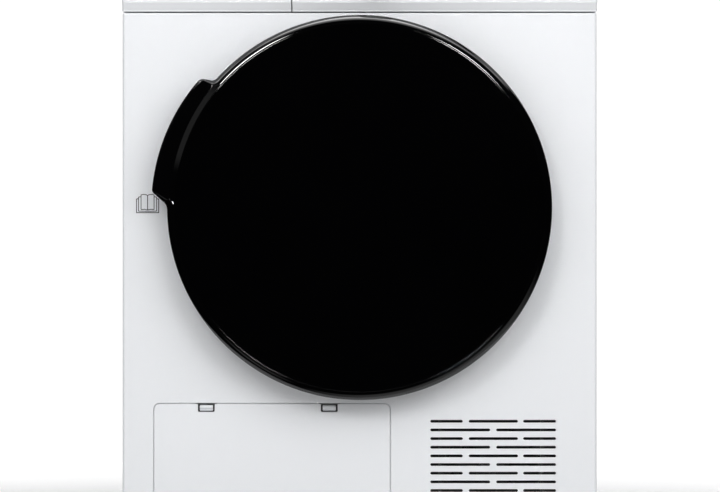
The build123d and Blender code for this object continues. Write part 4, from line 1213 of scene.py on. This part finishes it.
def rear_wall():
    p = Part()
    y = 289.0
    outer = rrect(-295.6, 295.6, 22.0, 811.6, 2.0, 4)
    holes = [circle2(0, ZC, 44.0, 64)]
    for k in range(12):
        a = math.radians(30 * k)
        holes.append(circle2(130 * math.cos(a), ZC + 130 * math.sin(a), 20, 28))
    for k in range(18):
        a = math.radians(20 * k + 10)
        holes.append(circle2(200 * math.cos(a), ZC + 200 * math.sin(a), 22, 28))
    holes.append(circle2(165, 110, 52, 60))
    slots = []
    for row in range(9):
        for a in (-262, -186):
            slots.append((a, a + 64, 142 + row * 11))
    # outlet louvres: an open slot under a pressed hood
    for a, b, zz in slots:
        holes.append(rrect(a, b, zz - 2.0, zz + 5.2, 1.9, 4))
        n = 9
        lo = rrect(a, b, zz - 2.0, zz + 5.2, 1.9, 4)
        rows = []
        for j in range(5):
            t = j / 4
            rows.append([(x, y + 3.4 * math.sin(math.pi / 2 * t) * min(1.0, (x - a) / 6.0, (b - x) / 6.0 + 0.0), zz + 5.2 - 6.0 * t)
                         for x in [a + (b - a) * i / 20 for i in range(21)]])
        p.loft(rows, closed=False)
    # long stiffening beads beside the duct
    beads = []
    for x0, x1, z0, z1 in ((-288, -276, 300, 650), (276, 288, 300, 650), (-262, -122, 30, 44), (-262, -200, 250, 262)):
        fn = lambda d, q=(x0, x1, z0, z1): rrect(q[0] - d, q[1] + d, q[2] - d, q[3] + d, 5.8 + d, 6)
        o_, i_ = ystep(p, fn, y, y + 1.6, 2.4, 4)
        holes.append(o_)
        p.plane_y(y + 1.6, i_, (), 0.6)
    for sx in (-283.0, 283.0):
        for sz in (70, 260, 690, 790):
            holes.append(circle2(sx, sz, 2.3, 16))
    p.plane_y(y, outer, holes, 0.6)
    nrm = normals2(outer)
    edge = [outer, [(x + n[0] * 0.3, z + n[1] * 0.3) for (x, z), n in zip(outer, nrm)]]
    p.loft([[(x, y, z) for x, z in outer], [(x, y + 0.4, z) for x, z in edge[1]], [(x, y + (9.0 if z > 30 else 0.5), z) for x, z in edge[1]]])
    p.make("rear_wall_skin", "cabinet", "galvanised", "galvanised", ["rear_wall"], thick=0.6, flat=True)
    q = Part()
    q.lathe([(25.0, 272.0), (41.5, 272.0), (42.0, 272.6), (42.0, 289.3), (45.5, 289.3), (46.0, 289.8), (45.5, 290.3), (25.6, 290.3), (25.0, 289.8)],
            at=(0, 0, ZC), n=72, closed=True)
    for k in range(6):
        a = math.radians(60 * k)
        q.rbox(math.cos(a) * 36 - 2.5, math.cos(a) * 36 + 2.5, 289.5, 291.6, ZC + math.sin(a) * 36 - 2.5, ZC + math.sin(a) * 36 + 2.5, 0.8)
    q.make("rear_wall_bearing_hub", "cabinet", "galvanised", "cast_hinge")


def duct_cover():
    base = duct_outline()
    p = Part()
    fn = lambda d: offset2(base, d)
    # turned-out lip, drawn wall and rounded shoulder
    wall = [(5.5, 289.7), (5.5, 290.4), (1.6, 290.4), (0.7, 290.8), (0.1, 292.0), (0.0, 294.0), (-0.8, 315.0)]
    r = 8.2
    for i in range(1, 9):
        t = math.pi / 2 * i / 8
        wall.append((-0.8 - r * (1 - math.cos(t)), 315.8 + r * math.sin(t)))
    loops = [[(x, yy, z) for x, z in fn(d)] for d, yy in wall]
    p.loft(loops)
    rim = fn(-0.8 - r)
    holes = []
    top, low = 324.0, 319.4
    ring_o = lambda d: circle2(0, ZC, 222.0 + d, 120)
    o_, i_ = ystep(p, ring_o, top, low, 9.0)
    holes.append(o_)
    inner_holes = [circle2(0, ZC, 100.5, 90)]
    # radial beads in the sunk ring
    for k in range(10):
        a = 36 * k + 18
        bead = lambda d, a=a: turned([(x, ZC + z) for x, z in rrect(116 - d, 204 + d, -6 - d, 6 + d, 5.8 + d, 5)], 0, ZC, a)
        o3, i3 = ystep(p, bead, low, low + 3.0, 3.6, 4)
        inner_holes.append(o3)
        p.plane_y(low + 3.0, i3, (), 0.6)
    p.loft([[(x, low + (top - low) * (t * t * (3 - 2 * t)), z) for x, z in circle2(0, ZC, 100.5 - 9.0 * t, 90)] for t in [i / 7 for i in range(8)]])
    p.plane_y(low, i_, inner_holes, 0.6)
    hub = lambda d: circle2(0, ZC, 46.0 + d, 60)
    o4, i4 = ystep(p, hub, top, 321.2, 5.0, 5)
    p.plane_y(top, circle2(0, ZC, 91.5, 90), [o4], 0.6)
    p.plane_y(321.2, i4, (), 0.6)
    fan = lambda d: circle2(165, 110, 60.0 + d, 72)
    o5, i5 = ystep(p, fan, top, 318.6, 8.0, 6)
    holes.append(o5)
    nose = lambda d: circle2(165, 110, 20.0 + d, 40)
    o6, i6 = ystep(p, nose, 318.6, 323.0, 6.0, 5)
    p.plane_y(318.6, i5, [o6], 0.6)
    p.plane_y(323.0, i6, (), 0.6)
    bead = lambda d: turned([(176 + x, 236 + z) for x, z in rrect(-22 - d, 22 + d, -4.5 - d, 4.5 + d, 4.3 + d, 5)], 176, 236, 82)
    o7, i7 = ystep(p, bead, top, 321.6, 3.0, 4)
    holes.append(o7)
    p.plane_y(321.6, i7, (), 0.4)
    p.plane_y(top, rim, holes, 0.6)
    p.make("rear_duct_skin", "cabinet", "galvanised", "galvanised", ["rear_duct_cover"], thick=0.6, flat=True)
    # screws round the lip
    q = Part()
    n = len(base)
    nrm = normals2(base)
    step = n / 14.0
    for k in range(14):
        i = int(k * step) % n
        x, z = base[i][0] + nrm[i][0] * 3.2, base[i][1] + nrm[i][1] * 3.2
        if abs(x) > 276 or z > 735 or z < 30:
            continue
        q.lathe([(0, 290.2), (2.6, 290.2), (2.6, 291.2), (2.1, 291.9), (1.2, 292.2), (0, 292.3)], at=(x, 0, z), n=20)
    q.make("duct_cover_screws", "cabinet", "bare_steel", "bare_steel")


def screw_crosses():
    q = Part()
    for sx in (-283.0, 283.0):
        for sz in (70, 260, 690, 790):
            q.lathe([(0, 289.0), (5.0, 289.0), (5.0, 290.3), (4.4, 291.2), (3.2, 291.55), (0, 291.6)], at=(sx, 0, sz), n=28)
    q.make("cabinet_screw_heads", "cabinet", "bare_steel", "bare_steel", ["panel_screws"])
    # black crosses on the screw heads: painted shade for their cross recesses
    q = Part()
    for sx in (-283.0, 283.0):
        for sz in (70, 260, 690, 790):
            q.rbox(sx - 2.7, sx + 2.7, 291.0, 291.66, sz - 0.55, sz + 0.55, 0.1, 1)
            q.rbox(sx - 0.55, sx + 0.55, 291.0, 291.68, sz - 2.7, sz + 2.7, 0.1, 1)
    q.make("cabinet_screw_recess_shade", "cabinet", "bare_steel", "black_plastic")


def mains_inlet():
    q = Part()
    q.rbox(-262, -212, 289.2, 312, 66, 122, 2.4, 4)
    for k in range(5):
        zz = 72 + k * 3.0
        q.rbox(-256, -218, 311.4, 312.6, zz, zz + 1.2, 0.3)
    q.rbox(-266, -260, 289.2, 292, 84, 104, 0.8)
    q.rbox(-214, -208, 289.2, 292, 84, 104, 0.8)
    q.make("mains_box", "cabinet", "black_plastic", "black_plastic", ["mains_inlet"])
    g = Part()
    g.lathe([(4.3, 311.0), (12.5, 311.0), (12.5, 315.6), (12.0, 316.0), (4.3, 316.0)], at=(-237, 0, 94), n=6, closed=True)
    g.lathe([(4.3, 315.5), (9.6, 315.5), (9.6, 318.2), (8.4, 319.6), (6.2, 320.0), (4.8, 320.0), (4.3, 319.4)], at=(-237, 0, 94), n=40, closed=True)
    for a in (-263.2, -210.8):
        g.lathe([(0, 292.0), (2.3, 292.0), (2.3, 292.8), (1.5, 293.5), (0, 293.6)], at=(a, 0, 94), n=20)
    g.make("mains_gland", "cabinet", "black_plastic", "grey_plastic")


rear_wall()
duct_cover()
screw_crosses()
mains_inlet()


# ---------------------------------------------------------------- drum: pressed pattern, rolled beads, lifter ribs
def drum_skin():
    ri, ro, ya, yb, back = 279.0, 280.0, -218.0, 262.0, 258.0
    p = Part()
    prof = [(ri, ya + 1.2), (ri, ya + 0.25), (ri + 0.25, ya), (ro - 0.25, ya), (ro, ya + 0.25), (ro, ya + 1.2),
            (ro, yb - 1.2), (ro, yb - 0.25), (ro - 0.25, yb), (ri + 0.25, yb), (ri, yb - 0.25), (ri, yb - 1.2),
            (ri, back + 1.0), (ri, back - 1.0), (ri, 120.0), (ri, 0.0), (ri, -120.0)]
    p.lathe(prof, at=(0, 0, ZC), n=240, closed=True)
    p.make("drum_skin", "drum", "steel_drum", "steel_drum", ["drum_shell"], angle=50)
    q = Part()
    holes = []
    for rr, n in ((95, 16), (125, 20), (155, 26), (185, 30), (215, 36)):
        for k in range(n):
            a = 2 * math.pi * k / n
            holes.append(lambda d, cx_=rr * math.cos(a), cz_=rr * math.sin(a): circle2(cx_, ZC + cz_, 5.0 + d, 24))
    for h in holes:
        q.lip_y(h, 0.45, 0.8, back, 3)
    q.plane_y(back, circle2(0, ZC, ri + 0.02, 240), [h(0.45) for h in holes], 0.8)
    q.make("drum_back_skin", "drum", "steel_drum", "steel_drum", thick=0.9, flip=True)


drum_skin()


def drum_details():
    p = Part()
    Ri = 279.0
    for yb in (-168.0, -78.0, 12.0, 102.0, 192.0):
        prof = []
        for i in range(9):
            t = math.pi * i / 8
            prof.append((Ri + 0.05 - 1.5 * math.sin(t), yb - 4.0 * math.cos(t)))
        p.lathe(prof, at=(0, 0, ZC), n=180)
    # rolled front lip
    prof = [(Ri - 0.1, -204.0)]
    for i in range(9):
        t = math.pi * i / 8
        prof.append((Ri - 1.5 + 1.5 * math.cos(t), -214.0 - 3.0 * math.sin(t)))
    prof.append((Ri - 3.0, -208.0))
    p.lathe(prof, at=(0, 0, ZC), n=180)
    # pressed domes between the beads
    for band, yb in enumerate((-190.0, -123.0, -33.0, 57.0, 147.0, 225.0)):
        rows = 4 if band in (1, 2, 3, 4) else 1
        for j in range(rows):
            yy = yb + (j - (rows - 1) / 2) * 17.0
            n = 96
            for k in range(n):
                a = 360.0 / n * (k + 0.5 * ((j + band) % 2))
                off = min(abs((a - 90 - 120 * m + 180) % 360 - 180) for m in range(3))
                if off < 8.5:
                    continue
                th = math.radians(a)
                c, s = math.cos(th), math.sin(th)
                ctr = len(p.v)
                verts = [(c * (Ri - 1.1), yy, ZC + s * (Ri - 1.1))]
                for rad, hh in ((2.6, 0.75), (4.4, -0.02)):
                    for m in range(10):
                        t = 2 * math.pi * m / 10
                        u, v = rad * math.cos(t), rad * math.sin(t)
                        rr = math.sqrt(max(1.0, (Ri - hh) ** 2 - u * u))
                        verts.append((c * rr - s * u, yy + v, ZC + s * rr + c * u))
                faces = [[0, 1 + m, 1 + (m + 1) % 10] for m in range(10)]
                faces += [[1 + m, 11 + m, 11 + (m + 1) % 10, 1 + (m + 1) % 10] for m in range(10)]
                p.add(verts, faces)
    p.make("drum_pressed_pattern", "drum", "steel_drum", "steel_drum", angle=50, weld=0.001)
    # rolled bead and hub dish on the back wall
    q = Part()
    for rb in (66.0, 240.0):
        prof = []
        for i in range(9):
            t = math.pi * i / 8
            prof.append((rb - 5.0 * math.cos(t), 258.05 - 2.2 * math.sin(t)))
        q.lathe(prof, at=(0, 0, ZC), n=140)
    for k in range(3):
        a = math.radians(120 * k + 30)
        q.lathe([(0, 255.4), (3.4, 255.5), (4.6, 256.1), (5.0, 257.0), (5.0, 258.0)], at=(36 * math.cos(a), 0, ZC + 36 * math.sin(a)), n=24)
    q.make("drum_back_beads", "drum", "steel_drum", "steel_drum", angle=50)
    # ribs along each lifter's crest
    w = Part()
    one = Part()
    for k in range(9):
        yy = -160 + 46 * k
        one.rbox(-6.4, 6.4, yy - 2.0, yy + 2.0, 224.9, 227.0, 0.9, 3)
    for k in range(2):
        for m in range(12):
            yy = -168 + 36 * m
            one.rbox((-21.0, 17.6)[k], (-17.6, 21.0)[k], yy - 9, yy + 9, 241.0, 244.4, 0.8)
    one.v = [(x, y, z + ZC) for x, y, z in one.v]
    for k in range(3):
        w.copy_turned(one, (0.0, ZC), -120 * k)
    w.make("drum_lifter_ribs", "drum", "grey_plastic", "grey_plastic")


drum_details()


# ---------------------------------------------------------------- filters
def filter_details():
    p = Part()
    for i in range(33):
        x = -66 + i * 4.125
        p.rbox(x - 0.3, x + 0.3, -254.1, -253.4, 229.5, 292.5, 0.0)
    for i in range(15):
        z = 232 + i * 4.2
        p.rbox(-68.5, 68.5, -254.2, -253.5, z - 0.3, z + 0.3, 0.0)
    p.make("lint_filter_mesh", "lint_screen", "filter_mesh", "filter_mesh", angle=30, weld=0.0005)
    q = Part()
    for x in (-34.0, 0.0, 34.0):
        q.rbox(x - 1.4, x + 1.4, -257.5, -254.0, 229.0, 293.0, 0.5)
    q.rbox(-69, 69, -257.0, -254.0, 258.6, 261.0, 0.5)
    for i in range(7):
        x = -18 + i * 6
        q.rbox(x - 1.1, x + 1.1, -247.6, -246.6, 299.6, 304.6, 0.4)
    q.make("lint_filter_ribs", "lint_screen", "grey_plastic", "grey_plastic")
    p = Part()
    for i in range(60):
        x = -241 + i * 4.45
        p.rbox(x - 0.35, x + 0.35, -225.7, -224.9, 59.5, 164.5, 0.0)
    for i in range(24):
        z = 62 + i * 4.4
        p.rbox(-244.5, 24.5, -225.8, -225.0, z - 0.35, z + 0.35, 0.0)
    p.make("evaporator_filter_mesh", "evaporator_screen", "filter_mesh", "filter_mesh", angle=30, weld=0.0005)
    q = Part()
    for i in range(9):
        x = -142 + i * 8
        q.rbox(x - 1.6, x + 1.6, -239.0, -237.6, 107.5, 116.5, 0.6)
    for x0, x1 in ((-249, -245.5), (25.5, 29)):
        q.rbox(x0, x1, -238.9, -237.8, 60, 164, 0.5)
    q.make("evaporator_filter_grip_ribs", "evaporator_screen", "grey_plastic", "grey_plastic")


filter_details()


# ---------------------------------------------------------------- inside of the door
def door_inside():
    p = Part()
    for k in range(12):
        a = 30 * k + 15
        x, z = 212.5 * math.cos(math.radians(a)), ZC + 212.5 * math.sin(math.radians(a))
        p.lathe([(0, -279.3), (1.7, -279.35), (3.2, -279.7), (4.0, -280.4), (4.0, -281.1)], at=(x, 0, z), n=24)
    p.make("door_frame_screws", "door", "bare_steel", "bare_steel")
    # black crosses on the screw heads: painted shade for their cross recesses
    q = Part()
    for k in range(12):
        a = 30 * k + 15
        x, z = 212.5 * math.cos(math.radians(a)), ZC + 212.5 * math.sin(math.radians(a))
        q.rbox(x - 2.1, x + 2.1, -279.9, -279.24, z - 0.45, z + 0.45, 0.1, 1)
        q.rbox(x - 0.45, x + 0.45, -279.9, -279.22, z - 2.1, z + 2.1, 0.1, 1)
    q.make("door_frame_screw_recess_shade", "door", "bare_steel", "black_plastic")
    # raised rings and a dished middle on the plug
    w = Part()
    for r0, h in ((128.0, 1.3), (92.0, 1.3)):
        prof = []
        for i in range(9):
            t = math.pi * i / 8
            prof.append((r0 - 3.2 * math.cos(t), -234.55 + h * math.sin(t)))
        w.lathe(prof, at=(0, 0, ZC), n=140)
    w.lathe([(0, -233.3), (54, -233.3), (56.0, -233.5), (57.4, -234.0), (57.8, -234.6)], at=(0, 0, ZC), n=110)
    w.make("door_plug_rings", "door", "grey_plastic", "grey_plastic")
    e = Part()
    # moulded ribs on the frame's flat ring
    for r0 in (184.0, 221.0):
        prof = []
        for i in range(7):
            t = math.pi * i / 6
            prof.append((r0 - 1.6 * math.cos(t), -281.05 + 1.0 * math.sin(t)))
        e.lathe(prof, at=(0, 0, ZC), n=150, a0=14.0, a1=166.0)
        e.lathe(prof, at=(0, 0, ZC), n=150, a0=194.0, a1=346.0)
    e.make("door_frame_beads", "door", "grey_plastic", "grey_plastic", angle=50)


door_inside()


# ---------------------------------------------------------------- fittings round the feet, tank, motor and compressor
def fittings():
    for i, (fx, fy) in enumerate(((-250.0, -226.0), (250.0, -226.0))):
        q = Part()
        q.lathe([(4.2, 9.0), (9.4, 9.0), (9.4, 13.4), (8.9, 13.9), (4.2, 13.9)], axis="z", at=(fx, fy, 0), n=6, closed=True)
        for k in range(18):
            a = math.radians(20 * k)
            q.rbox(fx + math.cos(a) * 19.9 - 0.7, fx + math.cos(a) * 19.9 + 0.7, fy + math.sin(a) * 19.9 - 0.7, fy + math.sin(a) * 19.9 + 0.7,
                   1.4, 6.6, 0.3, 1)
        q.make("foot_nut_%s" % ("left", "right")[i], ("foot_left", "foot_right")[i], "black_plastic", "black_plastic")
    m = Part()
    # cooling ribs round the motor shell
    for k in range(20):
        a = math.radians(18 * k)
        one = Part()
        one.rbox(-0.9, 0.9, 176, 246, 44.4, 48.0, 0.5)
        one.v = [(x + 165.0, y, z + 110.0) for x, y, z in one.v]
        if 195 < (90 - 18 * k) % 360 < 345:
            continue
        m.copy_turned(one, (165.0, 110.0), -18 * k)
    m.make("motor_ribs", "cabinet", "motor_steel", "motor_steel")
    c = Part()
    prof = []
    for i in range(7):
        t = math.pi * i / 6
        prof.append((54.9 + 1.8 * math.sin(t), 128.0 - 2.6 * math.cos(t)))
    c.lathe(prof, axis="z", at=(185.0, -50.0, 0), n=72)
    c.rbox(176, 194, -50 - 57.5, -50 - 50, 150, 176, 1.6, 3)
    c.lathe([(0, 200.0), (7.0, 200.0), (7.0, 206.0), (6.0, 207.2), (0, 207.4)], axis="z", at=(185.0, -50.0, 0), n=6)
    c.make("compressor_seam", "cabinet", "compressor_black", "compressor_black", angle=50)
    t = Part()
    for k in range(7):
        yy = -205 + 66 * k
        t.rbox(-286, -96, yy - 1.4, yy + 1.4, 808.2, 810.2, 0.7)
    t.make("tank_top_ribs", "tank_drawer", "light_plastic", "light_plastic")
    b = Part()
    for k in range(8):
        b.rbox(-262 + 38 * k, -259 + 38 * k, -210, 43, 181.2, 183.6, 0.8)
    b.make("exchanger_cover_ribs", "cabinet", "tray_plastic", "tray_plastic")


fittings()


# ---------------------------------------------------------------- every other piece: softened edges
SOFT = {"drum_lifters": 2.4, "water_tank": 1.2, "heat_exchanger_cover": 1.5, "lint_filter": 0.9, "evaporator_filter": 0.9,
        "door_inner_panel": 0.8, "door_hinge_bracket": 0.7, "door_hinge_leaf": 0.7, "base_tray": 0.6, "front_bulkhead": 0.8,
        "door_seal": 1.0, "control_board": 0.4, "drive_belt": 0.3, "cooling_fan_rotor": 0.3, "process_fan_wheel": 0.25,
        "door_inner_frame": 0.6, "rear_feet": 0.8, "foot_front_left": 0.8, "foot_front_right": 0.8, "evaporator": 0.15, "condenser": 0.15}


def soften():
    for node, o in frame["nodes"].items():
        if node in REPLACED or node == "drum_shell":
            continue
        md = o.modifiers.new("join", "WELD")
        md.merge_threshold = 0.00001
        md = o.modifiers.new("flat", "DECIMATE")
        md.decimate_type = "DISSOLVE"
        md.angle_limit = math.radians(0.6)
        md = o.modifiers.new("edge", "BEVEL")
        md.limit_method = "ANGLE"
        md.angle_limit = math.radians(38)
        md.width = SOFT.get(node, 0.5) * MM
        md.segments = 2
        md.use_clamp_overlap = True
        md.miter_outer = "MITER_SHARP"
        even_normals(o)


soften()



def area(name, loc, aim, size, energy, size_y=None, colour=(1, 1, 1), glossy=True):
    l = bpy.data.lights.new(name, "AREA")
    l.shape = "RECTANGLE"
    l.size = size
    l.size_y = size_y or size
    l.energy = energy
    l.color = colour
    o = bpy.data.objects.new(name, l)
    scene.collection.objects.link(o)
    o.location = loc
    o.rotation_euler = (Vector(aim) - Vector(loc)).to_track_quat("-Z", "Y").to_euler()
    o.visible_glossy = glossy
    return o


LIGHT = 0.68
area("key_left", (-0.90, -2.77, 1.74), (-0.1, -0.3, 0.55), 0.70, 19 * LIGHT, 0.65, glossy=False)
area("soft_front", (0.80, -2.72, 1.62), (0, -0.3, 0.475), 0.80, 15 * LIGHT, 0.80, glossy=False)
area("soft_right", (2.10, -2.40, 1.75), (0, -0.3, 0.45), 1.90, 37 * LIGHT, 1.90, glossy=False)
area("soft_left", (-2.10, -2.20, 0.85), (0, -0.3, 0.45), 1.50, 14 * LIGHT, 1.50, glossy=False)
area("soft_top", (0.0, -2.25, 2.55), (0, -0.25, 0.5), 2.2, 27 * LIGHT, 1.4, glossy=False)
area("soft_back", (0.9, 2.9, 1.7), (0, 0.3, 0.4), 1.6, 55 * LIGHT, 1.2, glossy=False)

M["floor"] = material("pale_floor", (0.86, 0.86, 0.87), 0.7, spec=0.2, var=0.01, var_scale=1.5, bumps=(("noise", 300, 0.00003, None),))
# far away the floor fades into the white of the backdrop
ft = M["floor"].node_tree
f_co, f_len, f_ramp, f_em, f_mix = (ft.nodes.new(k) for k in ("ShaderNodeTexCoord", "ShaderNodeVectorMath", "ShaderNodeMapRange", "ShaderNodeEmission", "ShaderNodeMixShader"))
f_len.operation = "LENGTH"
f_ramp.interpolation_type = "SMOOTHSTEP"
f_ramp.inputs["From Min"].default_value = 0.75
f_ramp.inputs["From Max"].default_value = 1.8
f_em.inputs["Color"].default_value = (1.0, 1.0, 1.0, 1.0)
f_em.inputs["Strength"].default_value = 1.12
f_out = next(n for n in ft.nodes if n.type == "OUTPUT_MATERIAL")
f_bsdf = next(n for n in ft.nodes if n.type == "BSDF_PRINCIPLED")
ft.links.new(f_co.outputs["Object"], f_len.inputs[0])
ft.links.new(f_len.outputs["Value"], f_ramp.inputs["Value"])
ft.links.new(f_ramp.outputs["Result"], f_mix.inputs["Fac"])
ft.links.new(f_bsdf.outputs["BSDF"], f_mix.inputs[1])
ft.links.new(f_em.outputs["Emission"], f_mix.inputs[2])
ft.links.new(f_mix.outputs["Shader"], f_out.inputs["Surface"])


def floor_ring(name, radii, centre=False):
    """A flat ring of the floor between the first and the last radius, in metres."""
    n = 96
    pts = [(r * math.cos(2 * math.pi * i / n), r * math.sin(2 * math.pi * i / n), 0.0) for r in radii for i in range(n)]
    fcs = [[k * n + i, (k + 1) * n + i, (k + 1) * n + (i + 1) % n, k * n + (i + 1) % n] for k in range(len(radii) - 1) for i in range(n)]
    if centre:
        pts.append((0.0, 0.0, 0.0))
        fcs += [[len(pts) - 1, i, (i + 1) % n] for i in range(n)]
    me = bpy.data.meshes.new(name)
    me.from_pydata(pts, [], fcs)
    me.materials.append(M["floor"])
    o = bpy.data.objects.new(name, me)
    scene.collection.objects.link(o)
    return o


floor = floor_ring("floor", [0.25, 0.5, 0.75, 1.0, 1.3, 1.6, 2.0], centre=True)
floor.visible_diffuse = False
floor_far = floor_ring("floor_far", [2.0, 2.3, 2.6, 3.0, 3.4, 3.8, 4.2, 4.6, 8.0, 14.0, 26.0])
floor_far.visible_diffuse = False
floor_far.visible_glossy = False
floor.visible_glossy = False

world = bpy.data.worlds.new("studio")
scene.world = world
world.use_nodes = True
wn, wl = world.node_tree.nodes, world.node_tree.links
bg = wn["Background"]
lp = wn.new("ShaderNodeLightPath")
geo = wn.new("ShaderNodeTexCoord")
sep = wn.new("ShaderNodeSeparateXYZ")
wl.new(geo.outputs["Generated"], sep.inputs["Vector"])


def w_ramp(axis, lo, hi, top, base=0.0):
    r = wn.new("ShaderNodeMapRange")
    r.interpolation_type = "SMOOTHSTEP"
    r.inputs["From Min"].default_value = lo
    r.inputs["From Max"].default_value = hi
    r.inputs["To Min"].default_value = base
    r.inputs["To Max"].default_value = top
    wl.new(sep.outputs[axis], r.inputs["Value"])
    return r.outputs["Result"]


def w_math(op, a, b):
    m = wn.new("ShaderNodeMath")
    m.operation = op
    for i, q in enumerate((a, b)):
        if isinstance(q, (int, float)):
            m.inputs[i].default_value = q
        else:
            wl.new(q, m.inputs[i])
    return m.outputs[0]


def w_spot(direction, inner, outer, value):
    """A soft-edged bright patch of the surroundings around a direction; the angles are in degrees."""
    d = Vector(direction).normalized()
    parts = [w_math("MULTIPLY", sep.outputs["XYZ"[i]], float(d[i])) for i in range(3)]
    dot = w_math("ADD", w_math("ADD", parts[0], parts[1]), parts[2])
    r = wn.new("ShaderNodeMapRange")
    r.interpolation_type = "SMOOTHSTEP"
    r.inputs["From Min"].default_value = math.cos(math.radians(outer))
    r.inputs["From Max"].default_value = math.cos(math.radians(inner))
    r.inputs["To Min"].default_value = 0.0
    r.inputs["To Max"].default_value = value
    wl.new(dot, r.inputs["Value"])
    return r.outputs["Result"]


# what mirrors see: dark in front, pale behind, a bright roof, and lamps up at either side in front
seen = w_math("ADD", w_ramp("Y", 0.60, 0.90, 0.60, 0.004), w_ramp("Z", 0.78, 0.99, 1.4))
seen = w_math("ADD", seen, w_math("MULTIPLY", w_ramp("Y", 0.06, 0.34, 9.5), w_ramp("Z", 0.60, 0.75, 1.0)))
for spot in (((-0.280, -0.876, 0.390), 5.0, 7.2, 52.0), ((0.1220, -0.9759, 0.1808), 1.7, 3.0, 64.0), ((-0.6775, -0.6455, 0.3527), 7, 12, 0.22),
             ((0.45, -0.05, -0.89), 20, 48, 0.40), ((-0.45, -0.60, -0.66), 4, 12, 0.8)):
    seen = w_math("ADD", seen, w_spot(*spot))
# what lights matt surfaces: even, a little stronger from straight ahead and from the pale floor
lit = w_math("ADD", w_ramp("Y", -1.0, -0.2, 0.22, 0.44), w_ramp("Z", -0.40, -0.05, 0.0, 0.22))
is_cam = wn.new("ShaderNodeMix")
is_cam.data_type = "FLOAT"
is_gloss = wn.new("ShaderNodeMix")
is_gloss.data_type = "FLOAT"
wl.new(lp.outputs["Is Glossy Ray"], is_gloss.inputs[0])
wl.new(lit, is_gloss.inputs[2])
wl.new(seen, is_gloss.inputs[3])
wl.new(lp.outputs["Is Camera Ray"], is_cam.inputs[0])
wl.new(is_gloss.outputs[0], is_cam.inputs[2])
is_cam.inputs[3].default_value = 1.12
wl.new(is_cam.outputs[0], bg.inputs["Strength"])
bg.inputs["Color"].default_value = (1.0, 1.0, 1.0, 1.0)
